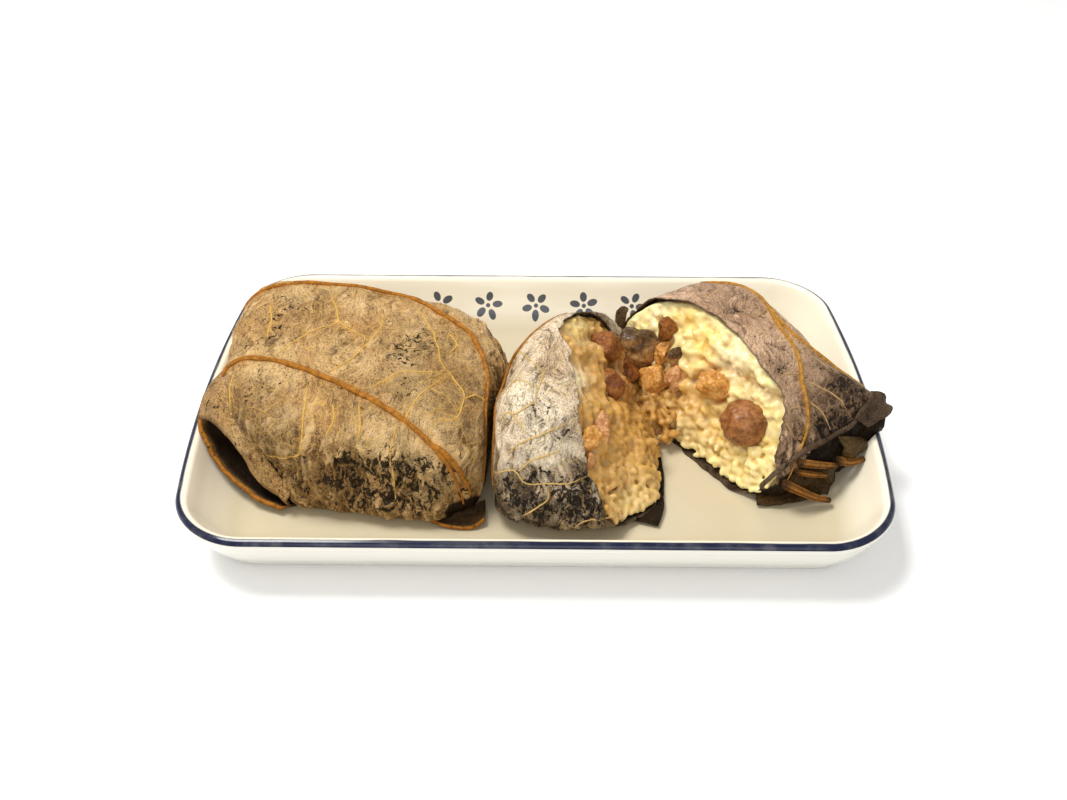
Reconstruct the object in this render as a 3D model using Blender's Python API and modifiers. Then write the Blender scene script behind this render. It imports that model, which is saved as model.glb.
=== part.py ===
"""Lotus leaf sticky rice on its plate: one whole parcel and one parcel torn into two halves.

The plate is a glazed oblong with round corners. The whole parcel is a closed pillow of leaf with its
folds and main veins. Each torn half is a thin leaf shell round a body of sticky rice, and pieces of pork,
mushroom and one meatball sit in the torn faces. Lengths are in metres, +Z up, and the origin is the
middle of the plate's underside.
"""

import math

import bmesh
import bpy
import numpy as np
from mathutils import Matrix, Vector

MM = 0.001

PLATE_LENGTH = 220 * MM
PLATE_WIDTH = 138 * MM
PLATE_CORNER = 20.5 * MM
PLATE_END_BOW = 5.7 * MM
PLATE_INNER_ROUNDING = 18 * MM
PLATE_SEGMENTS = 48
# Inset from the plate's outer edge and height, from the lip's crest down to the flat floor.
PLATE_INSIDE = np.array([
    (1.8, 22.0), (3.3, 21.3), (4.4, 19.6), (7.0, 14.6), (10.0, 10.4), (13.5, 7.6), (18.0, 6.0), (24.0, 5.5),
]) * MM
# The underside, from the lip's crest round its edge and down to the foot ring and its recess.
PLATE_OUTSIDE = np.array([
    (0.6, 21.4), (0.0, 20.0), (0.8, 18.0), (4.2, 11.2), (9.2, 3.8), (12.2, 0.0), (16.4, 0.0), (17.4, 1.5),
]) * MM

REST_GAP = 0.45 * MM
LEAF_THICKNESS = 1.0 * MM
RICE_GAP = 1.1 * MM
RICE_REACH = 90 * MM
PIECE_GAP = 0.35 * MM
CONTACT_GAP = 0.3 * MM
SQUEEZE = 2.5 * MM
VEIN_RADIUS = 1.1 * MM
WRINKLE = 0.7 * MM
GRAIN_HALF = np.array([3.2, 1.4, 1.3]) * MM
GRAINS_PER_HALF = 18
SHELL_SEGMENTS = 28
SHELL_RINGS = 9

# Corners of each parcel's cage: left then right, front then back, bottom then top.
WHOLE_CAGE = np.array([
    [[(-95, -43, 2), (-99, -34, 43)], [(-102, 46, 3), (-101, 43, 49)]],
    [[(-13, -52, 2), (-14, -44, 40)], [(-6, 33, 3), (-9, 27, 38)]],
]) * MM
MIDDLE_CAGE = np.array([
    [[(-23, -59, 4), (-13, -35, 45)], [(-22, 39, 3), (5, -4, 60)]],
    [[(54, -58, 4), (14, -39, 41)], [(50, 41, 3), (23, 24, 47)]],
]) * MM
RIGHT_CAGE = np.array([
    [[(-3, 21, 3), (18, 11, 49)], [(51, 57, 3), (69, 45, 50)]],
    [[(65, -51, 2), (67, -29, 47)], [(119, -25, 2), (98, -6, 43)]],
]) * MM

# Places where a parcel is drawn out or pressed in: middle, reach and shift.
WHOLE_PULLS = (
    ((-98, -36, 14), 15, (7, 6, 0)),
    ((-100, -26, 13), 12, (7, 5, 2)),
)
RIGHT_PULLS = (
    ((102, -15, 31), 11, (13, -3, 5)),
)

# The planes along which the second parcel was torn: a point, and the way the torn face looks.
MIDDLE_TEAR = (np.array([14, 5, 46]) * MM, np.array([0.84, -0.17, 0.545]))
RIGHT_TEAR = (np.array([60, 0, 42]) * MM, np.array([-0.69, -0.585, 0.424]))
# How far the rice's rim and the leaf's edge lie past each plane, in mm, by the angle round the tear in
# degrees from straight down towards the front.
MIDDLE_RICE_PAST = ((-100, -0.6), (-60, 0), (-31, 3.4), (13, 5.5), (44, 7.5), (58, -0.6), (120, -0.6))
MIDDLE_LEAF_PAST = ((-115, 1.5), (-98, -4), (-60, -4), (-38, -2), (-20, 2.5), (13, 4.5), (44, 6.5), (58, 0.8), (120, 1.2))
RIGHT_RICE_PAST = ((-100, -0.6), (100, -0.6))
RIGHT_LEAF_PAST = ((-125, 1.5), (-106, -5), (-66, -5), (-48, -1), (-16, -0.4), (30, 0.6), (60, 1.2), (120, 1.5))

# Rough points of the main veins. Each is snapped to its parcel's surface.
WHOLE_VEINS = (
    [(-98, -10, 32), (-96, -11, 37), (-89, -10, 42), (-76, -14, 43), (-60, -22, 42), (-43, -31, 39), (-31, -39, 33), (-24, -43, 23), (-21, -44, 12)],
    [(-97, 20, 38), (-90, 26, 42), (-80, 28, 44), (-64, 30, 42), (-47, 29, 39), (-32, 18, 39), (-21, 9, 38), (-15, -6, 36), (-15, -27, 32), (-16, -37, 16)],
    [(-31, -39, 34), (-25, -41, 28), (-19, -42, 15)],
)
MIDDLE_VEINS = (
    [(-12, -40, 18), (-12, -35, 24), (-12, -27, 33), (-9, -8, 35), (-3, -5, 45), (4, 3, 47), (10, 9, 46)],
)
RIGHT_VEINS = (
    [(56, 33, 42), (63, 31, 43), (70, 27, 45), (76, 16, 45), (80, -1, 44), (82, -14, 40), (84, -23, 34), (82, -28, 26), (77, -34, 16)],
    [(74, 22, 45), (82, 4, 43), (93, -4, 37), (104, -12, 34)],
)

# Pieces that sit in the torn faces: name, which half holds it, centre, half sizes, turn in degrees.
FILLING = (
    ("pork_cube", "middle", (22, 7, 33), (4.0, 5.2, 5.0), 20),
    ("pork_orange", "middle", (16.3, -33.5, 32), (3.2, 4.0, 3.8), -15),
    ("pork_shred", "middle", (21, -22, 27.5), (2.6, 7.5, 3.0), 8),
    ("pork_valley", "middle", (30, 8, 22), (4.6, 4.0, 4.2), 40),
    ("mushroom_cap", "right", (35, 18.2, 25.8), (7.3, 4.0, 5.4), 12),
    ("pork_top", "right", (44, 14.5, 36.6), (3.4, 3.6, 3.9), 25),
    ("pork_pale", "right", (42.6, 11, 28.6), (2.6, 2.8, 3.4), -20),
    ("pork_low", "right", (39.7, 7.5, 20.4), (4.2, 3.6, 3.6), 0),
    ("pork_glazed", "right", (58, -7, 29), (5.2, 4.8, 4.4), -35),
    ("meatball", "right", (66, -19.5, 25.3), (7.3, 7.2, 7.0), 0),
)

# Thin leaf panels, each between a root edge inside its parcel and a free edge.
WHOLE_PANELS = (
    ([(-94, -4, 14), (-91, -12, 10), (-87, -18, 8.5), (-82, -24, 8), (-75, -29, 7.5), (-68, -34, 7.5)],
     [(-106.5, -18, 25), (-104.5, -23.5, 21.8), (-101, -28, 17), (-96.5, -32, 13.2), (-88, -38, 10.5), (-79, -42, 8.5)]),
)
MIDDLE_PANELS = (
    ([(31, -12, 6.4), (31, -24, 6.4), (29, -34, 6.4), (27, -43, 6.4)],
     [(42.5, -14, 6.9), (44, -26, 6.9), (42.5, -38, 6.9), (36, -46.5, 6.9)]),
)
RIGHT_PANELS = (
    ([(100, -8, 26), (96, -12, 20), (88, -18, 14), (80, -24, 11)],
     [(109, -21, 27), (103, -29, 20.5), (95, -35, 13.5), (85, -37, 9.5)]),
)
RIGHT_STEMS = (
    [(100, -14, 23), (99, -24, 19), (95, -33, 14)],
    [(92, -18, 18), (92, -28, 13), (91, -37, 11)],
)

LEAF_COLOUR = (0.35, 0.23, 0.12, 1)
DARK_LEAF_COLOUR = (0.10, 0.06, 0.03, 1)
RICE_COLOUR = (0.82, 0.66, 0.34, 1)
PORK_COLOUR = (0.45, 0.20, 0.10, 1)
MUSHROOM_COLOUR = (0.12, 0.08, 0.06, 1)
PLATE_COLOUR = (0.86, 0.81, 0.68, 1)


def material(name, colour, roughness):
    """A plain finish with the part's colour."""
    made = bpy.data.materials.new(name)
    made.use_nodes = True
    shader = made.node_tree.nodes["Principled BSDF"]
    shader.inputs["Base Color"].default_value = colour
    shader.inputs["Roughness"].default_value = roughness
    shader.inputs["Metallic"].default_value = 0
    return made


def add_object(name, mesh, finish, collection):
    """A named object for the mesh, smooth shaded, with its finish."""
    made = bpy.data.objects.new(name, mesh)
    collection.objects.link(made)
    mesh.materials.append(finish)
    mesh.shade_smooth()
    return made


def mesh_from(bm, name):
    """The bmesh as a mesh, and the bmesh freed."""
    mesh = bpy.data.meshes.new(name)
    bm.to_mesh(mesh)
    bm.free()
    return mesh


def inward_distance(x, y):
    """How far a plan point lies inside the plate's outer edge, which is a rounded oblong with bowed ends."""
    half_length = PLATE_LENGTH / 2 - PLATE_END_BOW * np.clip(y / (PLATE_WIDTH / 2), -1, 1) ** 2
    past_x = np.abs(x) - (half_length - PLATE_CORNER)
    past_y = np.abs(y) - (PLATE_WIDTH / 2 - PLATE_CORNER)
    larger = np.maximum(past_x, past_y)
    rounding = np.clip(-larger, 1e-9, PLATE_INNER_ROUNDING)
    blend = np.clip(rounding - np.abs(past_x - past_y), 0, None) ** 2 / (4 * rounding)
    inside = np.minimum(larger + blend, 0)
    return PLATE_CORNER - np.hypot(np.maximum(past_x, 0), np.maximum(past_y, 0)) - inside


def plate_height(x, y):
    """Height of the plate's inner face under a plan point, counted as the lip's crest further out."""
    return np.interp(inward_distance(x, y), PLATE_INSIDE[:, 0], PLATE_INSIDE[:, 1])


def plate_angles():
    """Directions of the plate's ring points, closer together where its outline turns."""
    dense = np.linspace(0, 2 * math.pi, 4001)
    step = np.diff(plate_ring(dense, 4 * MM), axis=0)
    length = np.hypot(step[:, 0], step[:, 1])
    heading = np.unwrap(np.arctan2(step[:, 1], step[:, 0]))
    turning = np.abs(np.diff(heading, append=heading[-1:]))
    measure = np.concatenate([[0], np.cumsum(length / length.sum() + 1.2 * turning / turning.sum())])
    return np.interp(np.arange(PLATE_SEGMENTS) / PLATE_SEGMENTS * measure[-1], measure, dense)


def plate_ring(angles, inset):
    """Plan points that lie the inset inside the plate's outer edge, found by halving along each direction."""
    near, far = np.zeros(len(angles)), np.full(len(angles), PLATE_LENGTH)
    for _ in range(40):
        middle = (near + far) / 2
        inside = inward_distance(middle * np.cos(angles), middle * np.sin(angles)) > inset
        near, far = np.where(inside, middle, near), np.where(inside, far, middle)
    return np.stack([near * np.cos(angles), near * np.sin(angles)], axis=1)


def build_plate(finish, collection):
    """A loft through rounded oblong rings, from the floor out over the lip and in to the foot's recess."""
    angles = plate_angles()
    bm = bmesh.new()
    profile = list(PLATE_INSIDE[::-1]) + list(PLATE_OUTSIDE)
    rings = []
    for inset, height in profile:
        plan = plate_ring(angles, inset)
        rings.append([bm.verts.new((x, y, height)) for x, y in plan])
    bm.faces.new(rings[0])
    for upper, lower in zip(rings, rings[1:]):
        for i in range(len(angles)):
            j = (i + 1) % len(angles)
            bm.faces.new((upper[i], lower[i], lower[j], upper[j]))
    bm.faces.new(rings[-1][::-1])
    bmesh.ops.recalc_face_normals(bm, faces=bm.faces)
    return add_object("plate", mesh_from(bm, "plate"), finish, collection)


def seam_whole_middle(y):
    """Plan line where the whole parcel and the middle half press together."""
    return -14 * MM + 0.30 * np.maximum(0, y + 15 * MM)


def seam_middle_right(y):
    """Plan line where the two torn halves lean together."""
    return 27.5 * MM + 0.42 * (29 * MM - y)


def wrinkles(points, seed):
    """A slow unevenness over a surface, as a height at each point, from a few seeded waves."""
    chance = np.random.default_rng(seed)
    total = np.zeros(len(points))
    for _ in range(6):
        wave = chance.normal(size=3) * 2 * math.pi / (34 * MM)
        total += np.sin(points @ wave + chance.uniform(0, 2 * math.pi))
    return total * WRINKLE / 3


def squeezed(room):
    """Distances from a seam, made positive: what lies near or past it is crowded close in front of it."""
    close = SQUEEZE - np.minimum(room, SQUEEZE)
    return np.where(room < SQUEEZE, SQUEEZE ** 2 / (SQUEEZE + close), room)


class Mould:
    """A pillow: a rounded cube carried into a cage of eight corners, pressed on its neighbours and the plate."""

    def __init__(self, cage, roundness, seed, pulls=(), keep_right_of=None, keep_left_of=None):
        self.cage = cage
        self.roundness = roundness
        self.seed = seed
        self.pulls = pulls
        self.keep_right_of = keep_right_of
        self.keep_left_of = keep_left_of
        self.centre = cage.reshape(-1, 3).mean(axis=0)

    def points(self, directions):
        """Surface points for unit directions, an array of rows."""
        size = (np.abs(directions) ** self.roundness).sum(axis=1) ** (1 / self.roundness)
        cube = directions / size[:, None]
        share = np.stack([(1 - cube) / 2, (1 + cube) / 2], axis=-1)
        found = np.einsum("ni,nj,nk,ijkc->nc", share[:, 0], share[:, 1], share[:, 2], self.cage)
        outward = found - self.centre
        outward /= np.linalg.norm(outward, axis=1)[:, None]
        found = found + outward * wrinkles(found, self.seed)[:, None]
        for place, reach, shift in self.pulls:
            away = np.linalg.norm(found - np.array(place) * MM, axis=1) / (reach * MM)
            found = found + np.exp(-away[:, None] ** 2) * np.array(shift) * MM
        return self.pressed(found)

    def pressed(self, found, inset=0.0):
        """The points moved off the neighbouring parcels and up from the plate, by a further inset."""
        if self.keep_left_of is not None:
            room = self.keep_left_of(found[:, 1]) - CONTACT_GAP - inset - found[:, 0]
            found[:, 0] += room - squeezed(room)
        if self.keep_right_of is not None:
            room = found[:, 0] - self.keep_right_of(found[:, 1]) - CONTACT_GAP - inset
            found[:, 0] += squeezed(room) - room
        found[:, 2] = np.maximum(found[:, 2], plate_height(found[:, 0], found[:, 1]) + REST_GAP + inset)
        return found

    def normals(self, directions):
        """Outward unit normals, from two short steps along the surface."""
        step = 0.03
        upright = np.where(np.abs(directions[:, 2:3]) < 0.9, [[0.0, 0.0, 1.0]], [[1.0, 0.0, 0.0]])
        along = np.cross(directions, upright)
        along /= np.linalg.norm(along, axis=1)[:, None]
        across = np.cross(directions, along)
        ends = []
        for side in (along, across):
            both = [directions + sign * step * side for sign in (1, -1)]
            both = [d / np.linalg.norm(d, axis=1)[:, None] for d in both]
            ends.append(self.points(both[0]) - self.points(both[1]))
        normal = np.cross(ends[0], ends[1])
        outward = self.points(directions) - self.centre
        outward /= np.linalg.norm(outward, axis=1)[:, None]
        normal *= np.where((outward * normal).sum(axis=1) < 0, -1, 1)[:, None]
        normal += outward * 1e-9
        return normal / np.linalg.norm(normal, axis=1)[:, None]

    def snap(self, rough):
        """The directions whose surface points lie on the lines from the centre through the rough points."""
        wanted = rough - self.centre
        wanted /= np.linalg.norm(wanted, axis=1)[:, None]
        directions = wanted.copy()
        for _ in range(40):
            seen = self.points(directions) - self.centre
            seen /= np.linalg.norm(seen, axis=1)[:, None]
            directions += 0.6 * (wanted - seen)
            directions /= np.linalg.norm(directions, axis=1)[:, None]
        return directions


class Tear:
    """A torn face: directions are given round the way that it looks, and the tear's edge is found on the mould."""

    def __init__(self, mould, plane, rice_past, leaf_past, seed):
        self.mould = mould
        self.point, facing = plane
        self.facing = facing / np.linalg.norm(facing)
        self.down = np.array([0, 0, -1]) + self.facing * self.facing[2]
        self.down /= np.linalg.norm(self.down)
        self.front = np.cross(self.facing, self.down)
        self.front *= -np.sign(self.front[1])
        self.rice_past = np.array(rice_past)
        self.leaf_past = np.array(leaf_past)
        self.aim(self.facing)
        for _ in range(3):
            rim = self.rim(2 * math.pi * np.arange(60) / 60)
            step = np.linalg.norm(rim - np.roll(rim, 1, axis=0), axis=1)
            self.middle = (rim * (step + np.roll(step, -1))[:, None]).sum(axis=0) / (2 * step.sum())
            self.aim(mould.snap(self.middle[None])[0])
        self.seed = seed

    def aim(self, axis):
        """Sets the direction that the polar angles are counted from."""
        self.turn = Vector((0, 0, 1)).rotation_difference(Vector(axis)).to_matrix()

    def rim(self, around):
        """Points where the mould's surface meets the torn plane."""
        return self.mould.points(self.directions(self.edge(around, np.zeros(len(around))), around))

    def directions(self, polar, around):
        """Unit directions at a polar angle from the tear's axis and an angle around it."""
        local = np.stack([np.sin(polar) * np.cos(around), np.sin(polar) * np.sin(around), np.cos(polar)], axis=1)
        return local @ np.array(self.turn).T

    def edge(self, around, reach):
        """Polar angle at which the mould's surface comes down to the torn plane moved out by reach."""
        near, far = np.full(len(around), 0.02), np.full(len(around), math.pi - 0.1)
        for _ in range(40):
            middle = (near + far) / 2
            height = (self.mould.points(self.directions(middle, around)) - self.point) @ self.facing
            above = height > reach
            near, far = np.where(above, middle, near), np.where(above, far, middle)
        return near

    def past(self, around, table):
        """How far past the plane an edge lies, from its table of angles."""
        rim = self.rim(around) - self.middle
        angle = np.degrees(np.arctan2(rim @ self.front, rim @ self.down))
        return np.interp(angle, table[:, 0], table[:, 1], period=360) * MM

    def even(self, around):
        """Angles moved so that equal steps are equal lengths along the torn edge."""
        dense = np.linspace(-math.pi, math.pi, 721)
        ring = self.mould.points(self.directions(self.rice_edge(dense), dense))
        length = np.concatenate([[0], np.cumsum(np.linalg.norm(np.diff(ring, axis=0), axis=1))])
        return np.interp((around + math.pi) / (2 * math.pi), length / length[-1], dense)

    def rice_edge(self, around):
        """Polar angle of the rice's rim."""
        return self.edge(around, self.past(around, self.rice_past))

    def leaf_edge(self, around):
        """Polar angle of the leaf's torn edge, uneven round the tear."""
        chance = np.random.default_rng(self.seed)
        reach = self.past(around, self.leaf_past)
        for waves in (2, 3, 5, 7, 11):
            reach += 0.8 * MM / waves ** 0.5 * np.sin(waves * around + chance.uniform(0, 2 * math.pi))
        return self.edge(around, reach)


def polar_of(co):
    """Polar angle and angle around of unit vectors."""
    return np.arccos(np.clip(co[:, 2], -1, 1)), np.arctan2(co[:, 1], co[:, 0])


def unit_sphere(segments, rings):
    """A round primitive as a bmesh, and its points."""
    bm = bmesh.new()
    bmesh.ops.create_uvsphere(bm, u_segments=segments, v_segments=rings, radius=1)
    bm.verts.ensure_lookup_table()
    return bm, np.array([v.co for v in bm.verts])


def move_verts(bm, points):
    """Places a bmesh's vertices at the points, in order."""
    for vert, point in zip(bm.verts, points):
        vert.co = point


def smooth_path(rough, count):
    """Points evenly spread along a Catmull-Rom curve through the rough points."""
    rough = np.asarray(rough, float)
    padded = np.concatenate([2 * rough[:1] - rough[1:2], rough, 2 * rough[-1:] - rough[-2:-1]])
    at = np.linspace(0, len(rough) - 1, count)
    span = np.minimum(at.astype(int), len(rough) - 2)
    t = (at - span)[:, None]
    p0, p1, p2, p3 = (padded[span + k] for k in range(4))
    return 0.5 * (2 * p1 + (p2 - p0) * t + (2 * p0 - 5 * p1 + 4 * p2 - p3) * t ** 2 + (3 * p1 - p0 - 3 * p2 + p3) * t ** 3)


def tube(name, path, radius, collection, sides=0):
    """A closed round bar along a path: a bevelled curve made a mesh, with its caps welded."""
    curve = bpy.data.curves.new(name, "CURVE")
    curve.dimensions = "3D"
    curve.bevel_depth = radius
    curve.bevel_resolution = sides
    curve.use_fill_caps = True
    spline = curve.splines.new("POLY")
    spline.points.add(len(path) - 1)
    for point, place in zip(spline.points, path):
        point.co = (*place, 1)
    guide = bpy.data.objects.new(name, curve)
    collection.objects.link(guide)
    bpy.context.view_layer.update()
    mesh = bpy.data.meshes.new_from_object(guide.evaluated_get(bpy.context.evaluated_depsgraph_get()))
    bm = bmesh.new()
    bm.from_mesh(mesh)
    bmesh.ops.remove_doubles(bm, verts=bm.verts, dist=0.01 * MM)
    bm.to_mesh(mesh)
    bm.free()
    made = bpy.data.objects.new(name + "_mesh", mesh)
    made.matrix_world = guide.matrix_world
    collection.objects.link(made)
    bpy.data.objects.remove(guide)
    return made


def vein(name, mould, rough, radius, collection, count=14):
    """A main vein: a bar half sunk in the mould's surface, thinner towards its ends."""
    directions = mould.snap(smooth_path(np.array(rough) * MM, count))
    path = mould.points(directions) - mould.normals(directions) * 0.25 * radius
    path[:, 2] = np.maximum(path[:, 2], plate_height(path[:, 0], path[:, 1]) + REST_GAP + radius)
    return tube(name, path, radius, collection)


def combine(target, cutters, operation, solver="EXACT"):
    """Applies one Boolean of the target with all that the cutters collection holds, then removes those."""
    boolean = target.modifiers.new("combine", "BOOLEAN")
    boolean.operand_type = "COLLECTION"
    boolean.collection = cutters
    boolean.operation = operation
    boolean.solver = solver
    bpy.context.view_layer.update()
    graph = bpy.context.evaluated_depsgraph_get()
    mesh = bpy.data.meshes.new_from_object(target.evaluated_get(graph))
    target.modifiers.clear()
    target.data = mesh
    for used in list(cutters.objects):
        bpy.data.objects.remove(used)
    return target


def drop_scraps(target):
    """Keeps only the largest connected body of a mesh, without the crumbs that a cut leaves."""
    bm = bmesh.new()
    bm.from_mesh(target.data)
    waiting = set(bm.verts)
    bodies = []
    while waiting:
        body, front = set(), [waiting.pop()]
        while front:
            vert = front.pop()
            body.add(vert)
            beside = {edge.other_vert(vert) for edge in vert.link_edges} & waiting
            waiting -= beside
            front.extend(beside)
        bodies.append(body)
    bodies.sort(key=len)
    crumbs = [vert for body in bodies[:-1] for vert in body]
    bmesh.ops.delete(bm, geom=crumbs, context="VERTS")
    bm.to_mesh(target.data)
    bm.free()
    return target


def apply_modifiers(target):
    """Makes the evaluated mesh the object's own."""
    bpy.context.view_layer.update()
    mesh = bpy.data.meshes.new_from_object(target.evaluated_get(bpy.context.evaluated_depsgraph_get()))
    target.modifiers.clear()
    target.data = mesh
    return target


def leaf_panel(name, root_edge, free_edge, collection, across=4, along=10, wave=0.9 * MM):
    """A thin wavy leaf panel between two edges, each a curve through a few points."""
    near = smooth_path(np.array(root_edge) * MM, along)
    far = smooth_path(np.array(free_edge) * MM, along)
    bm = bmesh.new()
    bmesh.ops.create_grid(bm, x_segments=along - 1, y_segments=across - 1, size=1)
    bm.verts.ensure_lookup_table()
    co = np.array([v.co for v in bm.verts])
    column = np.round((co[:, 0] + 1) / 2 * (along - 1)).astype(int)
    share = ((co[:, 1] + 1) / 2)[:, None]
    points = near[column] * (1 - share) + far[column] * share
    points[:, 2] += wave * np.sin(column * 1.3 + 2.1 * share[:, 0]) * share[:, 0]
    floor = plate_height(points[:, 0], points[:, 1]) + REST_GAP + LEAF_THICKNESS / 2
    points[:, 2] = np.maximum(points[:, 2], floor)
    move_verts(bm, points)
    bmesh.ops.triangulate(bm, faces=bm.faces)
    sheet = bpy.data.objects.new(name, mesh_from(bm, name))
    collection.objects.link(sheet)
    solidify = sheet.modifiers.new("thickness", "SOLIDIFY")
    solidify.thickness = LEAF_THICKNESS
    solidify.offset = 0
    return apply_modifiers(sheet)


def build_whole_parcel(mould, finish, collection, helpers):
    """The closed parcel: one solid pillow with its veins, and the two folds that stand open at its foot."""
    bm, co = unit_sphere(32, 16)
    turned = co[:, [2, 0, 1]]
    move_verts(bm, mould.points(turned))
    bmesh.ops.recalc_face_normals(bm, faces=bm.faces)
    parcel = add_object("leaf_parcel_whole", mesh_from(bm, "leaf_parcel_whole"), finish, collection)
    for number, rough in enumerate(WHOLE_VEINS):
        vein(f"whole_vein_{number}", mould, rough, VEIN_RADIUS, helpers)
    for number, (root, free) in enumerate(WHOLE_PANELS):
        leaf_panel(f"whole_panel_{number}", root, free, helpers)
    return combine(parcel, helpers, "UNION")


def build_leaf_shell(name, tear, veins, finish, collection, helpers):
    """The leaf of a torn half: an open sheet over the mould up to the ragged edge, given its thickness inwards."""
    bm, co = unit_sphere(SHELL_SEGMENTS, 2 * SHELL_RINGS)
    polar, around = polar_of(co)
    gone = [v for v, p in zip(bm.verts, polar) if p < math.pi / 2 - 1e-4]
    bmesh.ops.delete(bm, geom=gone, context="VERTS")
    bm.verts.ensure_lookup_table()
    polar, around = polar_of(np.array([v.co for v in bm.verts]))
    around = tear.even(around)
    edge = tear.leaf_edge(around)
    polar = edge + (2 * polar / math.pi - 1) * (math.pi - edge)
    move_verts(bm, tear.mould.points(tear.directions(polar, around)))
    bmesh.ops.recalc_face_normals(bm, faces=bm.faces)
    bmesh.ops.triangulate(bm, faces=bm.faces)
    shell = add_object(name, mesh_from(bm, name), finish, collection)
    face = shell.data.polygons[len(shell.data.polygons) // 2]
    outward = face.normal.dot(face.center - Vector(tear.mould.centre)) > 0
    solidify = shell.modifiers.new("thickness", "SOLIDIFY")
    solidify.thickness = LEAF_THICKNESS
    solidify.offset = -1 if outward else 1
    apply_modifiers(shell)
    for number, rough in enumerate(veins):
        vein(f"{name}_vein_{number}", tear.mould, rough, VEIN_RADIUS * 0.9, helpers)
    return shell


def grain(name, place, along, collection):
    """One cooked rice grain, with few sides."""
    bm = bmesh.new()
    bmesh.ops.create_uvsphere(bm, u_segments=5, v_segments=4, radius=1)
    turn = Vector((0, 0, 1)).rotation_difference(Vector(along)).to_matrix().to_4x4()
    size = Matrix.Diagonal((*GRAIN_HALF[[1, 2, 0]], 1))
    bmesh.ops.transform(bm, matrix=Matrix.Translation(place) @ turn @ size, verts=bm.verts)
    made = bpy.data.objects.new(name, mesh_from(bm, name))
    collection.objects.link(made)
    return made


class RiceFace:
    """The torn face of a rice body: a bulging lumpy cap from its rim to its middle."""

    def __init__(self, tear, bulge, seed):
        self.tear = tear
        self.bulge = bulge
        self.seed = seed

    def inner_point(self, polar, around):
        """A point of the rice under the leaf: the mould's surface drawn to its centre by the leaf and a gap."""
        directions = self.tear.directions(polar, around)
        mould = self.tear.mould
        found = mould.points(directions)
        inward = mould.centre - found
        inward /= np.linalg.norm(inward, axis=1)[:, None]
        slant = np.clip(-(inward * mould.normals(directions)).sum(axis=1), 0.3, 1)
        found = found + inward * ((LEAF_THICKNESS + RICE_GAP) / slant)[:, None]
        found[:, 0] = np.minimum(found[:, 0], RICE_REACH)
        return mould.pressed(found, LEAF_THICKNESS + RICE_GAP)

    def face_point(self, share, around):
        """A point of the torn face: share 1 is its rim and 0 its middle."""
        rim_polar = self.tear.rice_edge(around)
        rim = self.inner_point(rim_polar, around)
        every = self.tear.even(np.linspace(-math.pi, math.pi, 24, endpoint=False))
        middle = self.inner_point(self.tear.rice_edge(every), every).mean(axis=0)
        flat = middle + (rim - middle) * share[:, None]
        lumps = wrinkles(flat * 3.1, self.seed) * 1.6
        rise = self.bulge * (1 - share ** 2) + lumps * np.clip(4 * (1 - share), 0, 1)
        return self.tear.mould.pressed(flat + self.tear.facing * rise[:, None], LEAF_THICKNESS + RICE_GAP)


def build_rice(name, face, finish, collection, helpers, cutters):
    """The rice body of a torn half, with fused grains on its face and a pocket for each piece of filling."""
    bm, co = unit_sphere(SHELL_SEGMENTS, 2 * SHELL_RINGS)
    polar, around = polar_of(co)
    around = face.tear.even(around)
    rim_polar = face.tear.rice_edge(around)
    below = rim_polar + (2 * polar / math.pi - 1) * (math.pi - rim_polar)
    on_face = polar < math.pi / 2 - 1e-4
    covered = face.inner_point(np.where(on_face, rim_polar, below), around)
    torn = face.face_point(np.clip(2 * polar / math.pi, 0, 1), around)
    move_verts(bm, np.where(on_face[:, None], torn, covered))
    bmesh.ops.recalc_face_normals(bm, faces=bm.faces)
    body = add_object(name, mesh_from(bm, name), finish, collection)
    chance = np.random.default_rng(face.seed)
    for number in range(GRAINS_PER_HALF):
        share = math.sqrt((number + 0.5) / GRAINS_PER_HALF) * 0.8
        around = face.tear.even(np.array([math.remainder(number * math.radians(137.5), 2 * math.pi)]))
        place = face.face_point(np.array([share]), around)[0]
        lean = chance.normal(size=3)
        lean -= face.tear.facing * (lean @ face.tear.facing) * 0.8
        above = place[2] - plate_height(place[0], place[1])
        if abs(seam_middle_right(place[1]) - place[0]) > GRAIN_HALF[0] + LEAF_THICKNESS and above > 6 * MM:
            grain(f"{name}_grain_{number}", place + face.tear.facing * 0.5 * MM, lean, helpers)
    combine(body, helpers, "UNION", "MANIFOLD")
    return drop_scraps(combine(body, cutters, "DIFFERENCE", "MANIFOLD"))


def build_piece(name, place, half_sizes, turn, grow, finish, collection, seed):
    """One lump of filling: an icosphere pressed to its sizes and made uneven, grown by a gap for its pocket."""
    bm = bmesh.new()
    bmesh.ops.create_icosphere(bm, subdivisions=2, radius=1)
    co = np.array([v.co for v in bm.verts])
    lumps = 1 + 0.5 * wrinkles(co * 22 * MM, seed)[:, None] / WRINKLE * 0.18
    boxy = co / (np.abs(co) ** 3.0).sum(axis=1)[:, None] ** (1 / 3.0)
    points = boxy * (np.array(half_sizes) * MM * lumps + grow)
    angle = math.radians(turn)
    spin = np.array([[math.cos(angle), -math.sin(angle), 0], [math.sin(angle), math.cos(angle), 0], [0, 0, 1]])
    move_verts(bm, points @ spin.T + np.array(place) * MM)
    if finish is None:
        made = bpy.data.objects.new(name, mesh_from(bm, name))
        collection.objects.link(made)
        return made
    return add_object(name, mesh_from(bm, name), finish, collection)


def build_filling(finishes, collection):
    """Every piece of pork, mushroom and meatball."""
    for number, (name, _, place, half_sizes, turn) in enumerate(FILLING):
        finish = finishes["mushroom"] if name.startswith("mushroom") else finishes["pork"]
        build_piece(name, place, half_sizes, turn, 0, finish, collection, number)


def add_pockets(cutters):
    """A slightly larger copy of every piece, to cut its pocket in the rice."""
    for number, (name, _, place, half_sizes, turn) in enumerate(FILLING):
        build_piece(name + "_pocket", place, half_sizes, turn, PIECE_GAP, None, cutters, number)


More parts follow.
